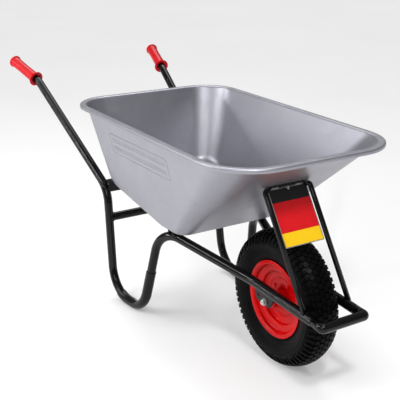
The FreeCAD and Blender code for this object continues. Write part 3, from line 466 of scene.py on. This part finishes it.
def tread_blocks():
    """Staggered, slightly uneven hexagons on the crown and long lugs over each shoulder."""
    pitch = 2 * math.pi / LUGS
    wobble = random.Random(7)
    around_wobble, along_wobble = 0.5, 0.4
    row_spacing = 14.4 * MM
    tip, flat, wide = 8.9 * MM, 4.0 * MM, 7.6 * MM
    hexagon = ((tip, 0), (flat, wide), (-flat, wide), (-tip, 0), (-flat, -wide), (flat, -wide))
    blocks = []
    for row in range(-2, 3):
        shift = (row % 2) * pitch / 2
        for number in range(LUGS):
            centre = number * pitch + shift
            corners = []
            for around, along in hexagon:
                moved = around + wobble.uniform(-around_wobble, around_wobble) * MM
                corners.append((centre + moved / TYRE_RADIUS,
                                row * row_spacing + along
                                + wobble.uniform(-along_wobble, along_wobble) * MM))
            blocks.append(lug(corners, 0.2 * MM, 0.9 * MM, TREAD_DEPTH + 1.5 * MM))
    inner, waist, ends = 38.5 * MM, 48 * MM, (62 * MM, 69 * MM)
    broad, slim = 6.3 * MM / TYRE_RADIUS, 5.0 * MM / TYRE_RADIUS
    for side in (RIGHT, LEFT):
        for number in range(LUGS):
            centre = number * pitch
            end = ends[number % 2]
            corners = [(broad, inner), (broad, waist), (slim, end), (-slim, end),
                       (-broad, waist), (-broad, inner)]
            blocks.append(lug([(centre + around, side * along) for around, along in corners],
                              0.15 * MM, 1.2 * MM, TREAD_DEPTH + 0.5 * MM))
    return blocks


def make_tyre():
    """A smooth carcass and its tread."""
    steps = 192
    ring = carcass_ring()
    vertices = turned(ring, AXLE, steps)
    faces = grid_faces(steps, len(ring), close_rows=True, close_columns=True)
    carcass = len(faces)
    for block in tread_blocks():
        add_part(vertices, faces, *block)
    tyre = mesh_object("tyre_treaded", vertices, faces, TYRE)
    smooth = [number < carcass for number in range(len(tyre.data.polygons))]
    tyre.data.polygons.foreach_set("use_smooth", smooth)
    repair_normals(tyre)
    finish_piece(tyre, "wheel", ["tyre"])


# ----------------------------------------------------------------------- rim

def make_rim_halves():
    """Each half of the rim with the rolled edge, round steps and dish of a pressing."""
    profile = [(22.2, 2.2), (52.5, 2.2), (60, 6), (73, 6), (76.5, 4), (77, 0.3), (79.8, 0.3),
               (80, 18), (100.8, 21), (101.4, 31), (105, 34.4), (112.6, 35.4), (113.8, 36.4),
               (112.8, 37.5), (103.5, 36.8), (99.2, 32), (98.8, 22.8), (78, 19.6), (77.6, 9.6),
               (73, 8.5), (60.5, 8.5), (52, 4.7), (22.2, 4.7)]
    radii = [6, 6, 2, 1, 0.8, 0.8, 5, 4, 3, 3, 0.7, 0.7, 2, 6, 4, 6, 4.5, 3, 10, 8, 4]
    path = rounded([(radius, y, 0) for radius, y in profile], radii, 5)
    steps = 128
    faces = grid_faces(steps, len(path), close_rows=True, close_columns=True)
    for side, name in SIDES:
        ring = [(point.x * MM, side * point.y * MM) for point in path]
        half = mesh_object(f"rim_pressing_{name}", turned(ring, AXLE, steps), faces, RIM_RED)
        repair_normals(half)
        finish_piece(half, "wheel", [f"rim_half_{name}"])


# ---------------------------------------------------------------------- tray

RIM_TILT = math.radians(0.86)
SHEET = 1.2 * MM
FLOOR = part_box("tray")[0].z + 0.1 * MM
FLOOR_HALF, FLOOR_FRONT = 189, 254
SIDE_FLARE = 81.7
RIM_X, RIM_Z, RIM_RISE = 192, 648.6, 320.3
FRONT_RISE, FRONT_RUN = 313.5, 393
KINK_RISE, KINK_RUN = 66.7, 358
RIDGE_SECTION = ((-2.7, -0.5), (-1.6, 0.9), (0, 1.35), (1.6, 0.9), (2.7, -0.5))
PANEL_LOOPS = ((((-62, 259), (296, 259), (296, 195), (-62, 195)), 10),
               (((-44, 244), (278, 244), (278, 236), (-44, 236)), 3.6),
               (((-44, 218), (278, 218), (278, 210), (-44, 210)), 3.6))


def tray_outline(rear, front, half, rear_radius, front_radius):
    """Points round a rectangle with round corners, always the same number of them."""
    corner_steps, side_steps, end_steps = 14, 40, 16
    points = []
    corners = ((front - front_radius, half - front_radius, front_radius, 0),
               (rear + rear_radius, half - rear_radius, rear_radius, 1),
               (rear + rear_radius, rear_radius - half, rear_radius, 2),
               (front - front_radius, front_radius - half, front_radius, 3))
    for number, (x, y, radius, quarter) in enumerate(corners):
        for step in range(corner_steps + 1):
            angle = (quarter + step / corner_steps) * math.pi / 2
            points.append((x + radius * math.cos(angle), y + radius * math.sin(angle)))
        after = corners[(number + 1) % 4]
        angle = (quarter + 1) * math.pi / 2
        start = points[-1]
        end = (after[0] + after[2] * math.cos(angle), after[1] + after[2] * math.sin(angle))
        runs = side_steps if number in (0, 2) else end_steps
        for step in range(1, runs):
            share = step / runs
            points.append((start[0] + (end[0] - start[0]) * share,
                           start[1] + (end[1] - start[1]) * share))
    return points


def level_line(height, squeeze):
    """The walls' outline at a height above the floor, squeezed inwards, in millimetres."""
    up, slope = height / FRONT_RISE, height / KINK_RISE
    outline = tray_outline((154 - slope * KINK_RUN) * MM,
                           (FLOOR_FRONT + FRONT_RUN * up - squeeze * 0.6) * MM,
                           (FLOOR_HALF + SIDE_FLARE * height / RIM_RISE - squeeze) * MM,
                           (38 + 32 * slope - squeeze * 0.5) * MM,
                           (40 + 90 * up - squeeze * 0.6) * MM)
    return [Vector((x, y, FLOOR + height * MM)) for x, y in outline]


def rim_line(inset, drop):
    """The rim's outline, inset and dropped below its tilted plane, in millimetres."""
    reach, half, rear_radius, front_radius = 475, 290.7, 123, 150
    middle = Vector((RIM_X * MM, 0, RIM_Z * MM))
    along = Vector((math.cos(RIM_TILT), 0, -math.sin(RIM_TILT)))
    normal = Vector((math.sin(RIM_TILT), 0, math.cos(RIM_TILT)))
    outline = tray_outline((inset - reach) * MM, (reach - inset) * MM, (half - inset) * MM,
                           (rear_radius - inset) * MM, (front_radius - inset) * MM)
    return [middle + along * x + Vector((0, y, 0)) - normal * drop * MM for x, y in outline]


def make_tray():
    """The pressing, with round edges between floor, walls, flange and rolled lip."""
    lines = [level_line(0, 11), level_line(8, 0), level_line(KINK_RISE, 0), rim_line(20, 0),
             rim_line(0.3, 0), rim_line(0.3, 10), rim_line(3.4, 9.6)]
    radii = [7 * MM, 9 * MM, 42 * MM, 9 * MM, 4.5 * MM, 1.6 * MM]
    middle = Vector((204 * MM, 0, FLOOR))
    paths = [rounded([middle.lerp(column[0], 0.05), *column], radii) for column in zip(*lines)]
    count, rows = len(paths), len(paths[0])
    faces = grid_faces(count, rows, close_rows=True)
    faces.append(tuple(rows * number for number in range(count)))
    tray = mesh_object("tray_pressing", [point for path in paths for point in path], faces, TRAY)
    repair_normals(tray)
    shell = tray.modifiers.new("thickness", "SOLIDIFY")
    shell.thickness = SHEET
    shell.offset = -1 if tray.data.polygons[-1].normal.z < 0 else 1
    finish_piece(tray, "frame", ["tray"])


def wall_point(x, height, side, lift):
    """A place on the outside of the tray's side wall, all in millimetres."""
    depth = RIM_RISE - (x - RIM_X) * math.tan(RIM_TILT)
    slope = math.atan2(SIDE_FLARE, depth)
    y = FLOOR_HALF + SIDE_FLARE * height / depth + lift * math.cos(slope)
    return Vector((x * MM, side * y * MM, FLOOR + (height - lift * math.sin(slope)) * MM))


def pressed_ridge(corners, radius, side):
    """Vertices and faces of a ridge round a loop of (x, height) corners on a side wall."""
    corners = [Vector((*corner, 0)) for corner in corners]
    path, vertices = [], []
    for number, corner in enumerate(corners):
        before, after = corners[number - 1], corners[(number + 1) % len(corners)]
        path += rounded([(before + corner) / 2, corner, (corner + after) / 2], [radius])[:-1]
    for number, point in enumerate(path):
        onward = path[(number + 1) % len(path)] - path[number - 1]
        aside = Vector((-onward.y, onward.x, 0)).normalized()
        vertices += [wall_point(point.x + aside.x * offset, point.y + aside.y * offset, side,
                                lift) for offset, lift in RIDGE_SECTION]
    return vertices, grid_faces(len(path), len(RIDGE_SECTION), close_rows=True,
                                close_columns=True)


def make_side_panels():
    """A plain pressed panel on each side wall: a long ridge with two inner ribs."""
    for side, name in reversed(SIDES):
        vertices, faces = [], []
        for corners, radius in PANEL_LOOPS:
            add_part(vertices, faces, *pressed_ridge(corners, radius, side))
        panel = mesh_object(f"tray_panel_{name}", vertices, faces, TRAY)
        repair_normals(panel)
        finish_piece(panel, "frame")


# ------------------------------------------------------------ hoop and plate

STAY_RADIUS, STAY_HALF = 7.5 * MM, 76.6 * MM
BAR_WIDE, BAR_THIN = 10 * MM, 2 * MM
WALL_SLOPE = math.radians(38.58)
WALL_ALONG = Vector((math.cos(WALL_SLOPE), 0, math.sin(WALL_SLOPE)))
WALL_OUT = Vector((math.sin(WALL_SLOPE), 0, -math.cos(WALL_SLOPE)))
STAY_BOLT = Vector((FLOOR_FRONT * MM, 0, FLOOR)) + WALL_ALONG * 327 * MM
STAY_MIDDLE = STAY_BOLT + WALL_OUT * (STAY_RADIUS + 0.2 * MM)
STAY_FOOT = Vector((705 * MM, 76 * MM, 232.6 * MM))


def make_front_stay():
    """The hoop: round legs, tight corners and a bar pressed flat against the tray."""
    shoulder = STAY_MIDDLE + Vector((0, STAY_HALF, 0))
    foot = STAY_FOOT - (STAY_FOOT - shoulder).normalized() * 11 * MM
    line = rounded([foot * MIRROR, shoulder * MIRROR, shoulder, foot], [9.5 * MM] * 2, 10)
    bar_start = len(line) // 2
    bar = [Vector((STAY_MIDDLE.x, y * MM, STAY_MIDDLE.z)) for y in range(-66, 67, 3)]
    path = line[:bar_start] + bar + line[bar_start:]
    points, sections = [], []
    for number, point in enumerate(path):
        heading = heading_at(path, number)
        near_bar = 1 - min(max((abs(point.y) - 52 * MM) / (14 * MM), 0), 1)
        flat = near_bar * near_bar * (3 - 2 * near_bar)
        thin = WALL_OUT if flat > 0 else WALL_ALONG.cross(heading).normalized()
        wide = heading.cross(thin).normalized()
        a = STAY_RADIUS + (BAR_WIDE - STAY_RADIUS) * flat
        b = STAY_RADIUS + (BAR_THIN - STAY_RADIUS) * flat
        power = 1 / (1 + 0.5 * flat)
        ring = [(a * math.copysign(abs(c) ** power, c), b * math.copysign(abs(d) ** power, d))
                for c, d in circle_offsets(1.0, 24)]
        points.append(point - WALL_OUT * (STAY_RADIUS - BAR_THIN) * flat)
        sections.append((wide, thin, ring))
    vertices, faces = tube_along(points, sections)
    hoop = mesh_object("front_stay_hoop", vertices, faces, BLACK)
    repair_normals(hoop)
    finish_piece(hoop, "frame", ["front_stay"])


def make_name_plate():
    """The plate in its three plain bands of colour, with a bare edge all round."""
    fall = (STAY_FOOT - STAY_MIDDLE) * Vector((1, 0, 1))
    down = fall.normalized()
    out = Vector((-down.z, 0, down.x))
    half, top, bottom = 66.2, -2.6, 162.0
    length = bottom - top
    edge, back, face = 2.6, -3.7, -2.2
    rows = [top, top + edge, top + 0.24 * length, top + 0.755 * length, bottom - edge, bottom]
    columns = [-half, edge - half, half - edge, half]
    corner_pull = 0.75

    def place(down_mm, across_mm, out_mm):
        return (STAY_MIDDLE + down * down_mm * MM + Vector((0, across_mm * MM, 0))
                + out * out_mm * MM)

    materials = [PLATE_BLACK, PLATE_RED, PLATE_YELLOW, ZINC]
    vertices, faces, slots = [], [], []
    for down_mm in rows:
        for across_mm in columns:
            at_corner = down_mm in (top, bottom) and abs(across_mm) == half
            pull = corner_pull if at_corner else 0
            sign = 1 if across_mm > 0 else -1
            vertices.append(place(down_mm + (pull if down_mm < bottom - 1 else -pull),
                                  across_mm - sign * pull, face))
    width = len(columns)
    bands = [3, 0, 1, 2, 3]
    for row in range(len(rows) - 1):
        for column in range(width - 1):
            start = row * width + column
            faces.append((start, start + 1, start + width + 1, start + width))
            slots.append(bands[row] if column == 1 else 3)
    plate = mesh_object("name_plate_bands", vertices, faces, materials[0], smooth=False)
    for material in materials[1:]:
        plate.data.materials.append(material)
    plate.data.polygons.foreach_set("material_index", slots)
    repair_normals(plate)
    thick = plate.modifiers.new("thickness", "SOLIDIFY")
    thick.thickness = (face - back) * MM
    thick.offset = -1 if plate.data.polygons[0].normal.dot(out) > 0 else 1
    thick.material_offset_rim = 3
    thick.use_rim = True
    soft = plate.modifiers.new("edges", "BEVEL")
    soft.width = 0.35 * MM
    soft.segments = 2
    soft.limit_method = "ANGLE"
    finish_piece(plate, "frame", ["name_plate"])


def make_plate_fold():
    """The plate's folded tab, held between the hoop's bar and its nut."""
    tab = [STAY_BOLT + WALL_OUT * (4.4 * MM + d * MM) + WALL_ALONG * a * MM
           + Vector((0, y * MM, 0)) for d in (0, 1.5) for a in (-7, 7) for y in (-25, 25)]
    faces = [(0, 1, 3, 2), (4, 6, 7, 5), (0, 4, 5, 1), (2, 3, 7, 6), (0, 2, 6, 4), (1, 5, 7, 3)]
    fold = mesh_object("name_plate_fold", tab, faces, PLATE_BLACK, smooth=False)
    repair_normals(fold)
    soften(fold, 0.5 * MM)
    finish_piece(fold, "frame")


def make_front_bow():
    """The bow in front of the wheel, with the crushed inner corners of a tight bend."""
    low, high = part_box("front_bow")
    nose = Vector((high.x - TUBE_RADIUS, 71 * MM, low.z + TUBE_RADIUS))
    joint = Vector((730 * MM, 71.2 * MM, 231.1 * MM))
    line = rounded([joint * MIRROR, nose * MIRROR, nose, joint], [7 * MM] * 2, 12)
    steps = 40
    sections = []
    for number in range(len(line)):
        heading = heading_at(line, number)
        aside = heading.cross(UP).normalized()
        sections.append((aside, aside.cross(heading).normalized(),
                         circle_offsets(TUBE_RADIUS, steps)))
    vertices, faces = tube_along(line, sections)
    crushed = []
    for number, vertex in enumerate(vertices):
        point = line[number // steps]
        side = LEFT if point.y > 0 else RIGHT
        corner = nose if side == LEFT else nose * MIRROR
        split = Vector((1, side, 0)).normalized().cross(UP)
        ahead = 1 if (point - corner).dot(split) > 0 else -1
        passed = (vertex - corner).dot(split) * ahead
        crushed.append(vertex - split * passed * ahead if passed < 0 else vertex)
    bow = mesh_object("front_bow_bent", crushed, faces, BLACK)
    repair_normals(bow)
    finish_piece(bow, "frame", ["front_bow"])


# ------------------------------------------------------------------ hardware

def hex_head(radius, height, chamfer, bore):
    """A chamfered hexagon on local Z from 0 to height, with a bore or a closed top."""
    steps = 48
    apothem = radius * math.cos(math.pi / 6)
    vertices = []
    for step in range(steps):
        angle = 2 * math.pi * step / steps
        swing = (angle % (math.pi / 3)) - math.pi / 6
        reach = apothem / math.cos(swing)
        drop = chamfer * (reach - apothem) / (radius - apothem)
        ring = [(bore, 0), (apothem * 0.97, 0), (reach, drop * 0.6 + 0.1 * MM),
                (reach, height - drop - 0.1 * MM), (apothem * 0.96, height), (bore, height)]
        vertices += [(r * math.cos(angle), r * math.sin(angle), z) for r, z in ring]
    return vertices, grid_faces(steps, 6, close_rows=True, close_columns=True)


def thread(radius, length, pitch):
    """The profile of a threaded end on local Z, closed with a chamfered tip."""
    core = radius * 0.86
    profile = [(0.0, 0.0), (core, 0.0)]
    turns = int(length / pitch)
    for turn in range(turns):
        profile += [(core, (turn + 0.1) * pitch), (radius, (turn + 0.5) * pitch),
                    (core, (turn + 0.9) * pitch)]
    return profile + [(core, turns * pitch), (radius * 0.7, length), (0.0, length)]


def on_axle(y, heading=1):
    """A frame on the axle's line, with Z along it."""
    return aligned(Vector((AXLE.x, y, AXLE.z)), (0, heading, 0), UP)


def make_axle_hardware():
    """The axle's head and nut with chamfers, and its threaded end."""
    low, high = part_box("axle_bolt")
    nut_low, nut_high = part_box("axle_nut")
    hex_radius = (high.z - low.z) / 2 / math.cos(math.pi / 6)
    shank_radius, chamfer = 6 * MM, 1.6 * MM
    head_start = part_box("axle_washers")[1].y
    shank_start = nut_high.y + 1 * MM
    shank_length = head_start - shank_start + 1.5 * MM
    head = hex_head(hex_radius, high.y - head_start, chamfer, 0.0)
    shank = lathe([(0.0, 0.0), (shank_radius, 0.0), (shank_radius, shank_length),
                   (0.0, shank_length)], 40)
    end = lathe(thread(shank_radius, shank_start - low.y, 1.5 * MM), 40)
    bolt = joined("axle_bolt_threaded", [(*head, on_axle(head_start)),
                                         (*shank, on_axle(shank_start - 1 * MM)),
                                         (*end, on_axle(shank_start, -1))], ZINC)
    finish_piece(bolt, "frame", ["axle_bolt"])
    hexagon = hex_head(hex_radius, nut_high.y - nut_low.y, chamfer, 6.05 * MM)
    nut = joined("axle_nut_chamfered", [(*hexagon, on_axle(nut_low.y))], ZINC)
    finish_piece(nut, "frame", ["axle_nut"])


def make_stay_hardware():
    """The nut on the hoop's bolt, below the bar."""
    hexagon = hex_head(5.77 * MM, 5 * MM, 0.9 * MM, 3.05 * MM)
    place = aligned(STAY_BOLT + WALL_OUT * 6.1 * MM, WALL_OUT)
    nut = joined("stay_nut_chamfered", [(*hexagon, place)], ZINC)
    finish_piece(nut, "frame", ["stay_nut"])


def weld_bead(name, centre, main, branch, main_radius, branch_radius, bead=2.3):
    """A rippled bead along the line where a branch tube meets a main tube."""
    m, b = Vector(main).normalized(), Vector(branch).normalized()
    e1 = b.cross(m).normalized()
    e2 = e1.cross(b).normalized()
    n = (b - m * b.dot(m)).normalized()
    steps, ring_steps = 72, 10
    line = []
    for step in range(steps):
        angle = 2 * math.pi * step / steps
        side = branch_radius * math.cos(angle)
        rise = math.sqrt(max(main_radius ** 2 - side ** 2, 0))
        along = (rise - branch_radius * math.sin(angle) * e2.dot(n)) / b.dot(n)
        line.append(centre + e1 * side + e2 * branch_radius * math.sin(angle) + b * along)
    vertices = []
    for step, point in enumerate(line):
        onward = (line[(step + 1) % steps] - line[step - 1]).normalized()
        outward = (point - centre - b * (point - centre).dot(b)).normalized()
        second = onward.cross(outward).normalized()
        size = bead * MM * (1 + 0.13 * math.sin(step * 2.1) + 0.07 * math.sin(step * 0.9))
        vertices += [point + outward * x * size + second * y * size
                     for x, y in circle_offsets(1.0, ring_steps)]
    faces = grid_faces(steps, ring_steps, close_rows=True, close_columns=True)
    weld = mesh_object(name, vertices, faces, BLACK)
    repair_normals(weld)
    finish_piece(weld, "frame")


def make_welds():
    """Weld beads at the ends of the cross tube and at the hoop's feet."""
    cross = box_middle("leg_cross_tube")
    joint_y = 213.7614 * MM
    for side, name in SIDES:
        leg = Vector((-46, side * -9.5, 349.8))
        weld_bead(f"weld_cross_{name}", Vector((cross.x, side * joint_y, cross.z)), leg,
                  (0, -side, 0), TUBE_RADIUS, TUBE_RADIUS)
        foot = STAY_FOOT * Vector((1, side, 1))
        up = STAY_MIDDLE + Vector((0, side * STAY_HALF, 0)) - foot
        centre = Vector((STAY_FOOT.x, side * 71.4 * MM, STAY_FOOT.z))
        weld_bead(f"weld_stay_{name}", centre, (310.7, 0, -18), up, TUBE_RADIUS, STAY_RADIUS,
                  bead=1.8)


def make_bearer_ends():
    """The welded ends of the rear bearer's angle, which reach the frame tubes."""
    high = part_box("rear_bearer")[1]
    slope = math.atan2(KINK_RISE, KINK_RUN)
    corner = Vector((-165 * MM, 0, high.z - 30 * MM * math.sin(slope)))
    forward = Vector((math.cos(slope), 0, -math.sin(slope)))
    up = Vector((math.sin(slope), 0, math.cos(slope)))
    section = [(0.15, 0), (0.15, -31.9), (-3.15, -31.9), (-3.15, -3.15), (-29.9, -3.15),
               (-29.9, 0)]
    for side, name in SIDES:
        vertices = [corner + forward * x * MM + up * z * MM + Vector((0, side * y, 0))
                    for y in (high.y - 3 * MM, high.y + 6 * MM) for x, z in section]
        count = len(section)
        faces = grid_faces(2, count, close_columns=True)
        faces += [tuple(range(count)), tuple(range(count, 2 * count))]
        end = mesh_object(f"bearer_end_{name}", vertices, faces, BLACK, smooth=False)
        repair_normals(end)
        soften(end, 0.5 * MM)
        finish_piece(end, "frame")


# --------------------------------------------------------------------- grips

def make_grips():
    """A moulded grip with a waist, a soft end, a flange and an open mouth."""
    profile = [(0, 0), (17.5, 0), (22.5, 1.5), (22.5, 5.5), (19.2, 8.5), (18.7, 30), (18.4, 70),
               (18.8, 105), (19.0, 134), (21.0, 139.0), (26.6, 141.6), (26.9, 145.7),
               (24.5, 146), (18.4, 145.4), (17.2, 141), (14.2, 141)]
    radii = [1, 3, 2, 2.5, 4, 30, 30, 20, 4, 3, 1.2, 1.2, 1, 1.4]
    path = rounded([(radius, z, 0) for radius, z in profile], radii, 5)
    vertices, faces = lathe([(point.x * MM, point.y * MM) for point in path], 72)
    for side, name in SIDES:
        axis = Vector((147, -side * 32.5, -54.5)).normalized()
        origin = Vector((-773 * MM, side * 290.5 * MM, 716 * MM))
        grip = joined(f"grip_moulding_{name}", [(vertices, faces, aligned(origin, axis))],
                      GRIP_RED, 50)
        finish_piece(grip, "frame", [f"grip_{name}"])


# --------------------------------------------------------------------- stage

def make_floor():
    """A pale floor, and a world that fills the shadows."""
    paint = Material("studio_floor", Specular_IOR_Level=0.2)
    paint.mottle(paint.noise(0.8, 3), (0.74, 0.74, 0.74), (0.77, 0.77, 0.77))
    paint.shader.inputs["Emission Color"].default_value = (1, 1, 1, 1)
    paint.shader.inputs["Emission Strength"].default_value = 0.22
    paint.rough(paint.noise(3, 3), 0.6, 0.75)
    reach = 40
    corners = [(-reach, -reach, 0), (reach, -reach, 0), (reach, reach, 0), (-reach, reach, 0)]
    floor = mesh_object("studio_floor", corners, [(0, 1, 2, 3)], paint.material)

    world = bpy.data.worlds.new("studio")
    bpy.context.scene.world = world
    world.use_nodes = True
    background = world.node_tree.nodes["Background"]
    background.inputs["Color"].default_value = (1, 1, 1, 1)
    background.inputs["Strength"].default_value = 0.28
    bpy.context.scene.view_settings.view_transform = "Standard"


def make_lights():
    """Soft light from above, and strip lights for the highlights along the tubes."""
    sun = bpy.data.lights.new("sky_light", "SUN")
    sun.energy = 1.8
    sun.angle = math.radians(38)
    lamp = bpy.data.objects.new("sky_light", sun)
    lamp.rotation_euler = (math.radians(-14), math.radians(-24), 0)
    bpy.context.scene.collection.objects.link(lamp)
    tray = box_middle("tray")
    handle, strut = (0.833, 0.085, -0.547), (0.937, 0.290, -0.193)
    soft_light("key_light", (2.0, -1.8, 1.7), tray, 0.9, 0.9, 12)
    soft_light("crown_light", (1.55, -0.39, 1.86), AXLE, 0.24, 0.24, 15)
    soft_light("handle_light_low", (-1.38, -2.12, 1.10), tray, 0.035, 1.8, 15, handle)
    soft_light("handle_light_high", (-0.79, -1.81, 2.16), tray, 0.035, 1.8, 15, handle)
    soft_light("strut_light", (-0.04, -2.02, 1.68), AXLE, 0.035, 1.7, 16, strut)


def make_camera():
    """The camera that was fitted to the photograph."""
    lens = bpy.data.cameras.new("camera")
    lens.sensor_width = 36
    lens.lens = 72.8
    camera = bpy.data.objects.new("camera", lens)
    camera.location = (2.1577, -1.3067, 1.2030)
    camera.rotation_euler = (math.radians(71.1), 0, math.radians(58.0))
    bpy.context.scene.collection.objects.link(camera)
    bpy.context.scene.camera = camera


def soft_light(name, place, target, width, length, power, along=(0, 0, 1)):
    """A rectangular softbox that faces a target, with its long side along a direction."""
    light = bpy.data.lights.new(name, "AREA")
    light.shape = "RECTANGLE"
    light.size = width
    light.size_y = length
    light.energy = power
    lamp = bpy.data.objects.new(name, light)
    back = (Vector(place) - target).normalized()
    side = Vector(along).cross(back).normalized()
    turn = Matrix((side, back.cross(side), back)).transposed().to_4x4()
    lamp.matrix_world = Matrix.Translation(place) @ turn
    bpy.context.scene.collection.objects.link(lamp)


paint_cad_nodes()
make_tyre()
make_rim_halves()
make_tray()
make_side_panels()
make_front_stay()
make_name_plate()
make_plate_fold()
make_front_bow()
make_axle_hardware()
make_stay_hardware()
make_welds()
make_bearer_ends()
make_grips()
make_floor()
make_lights()
make_camera()
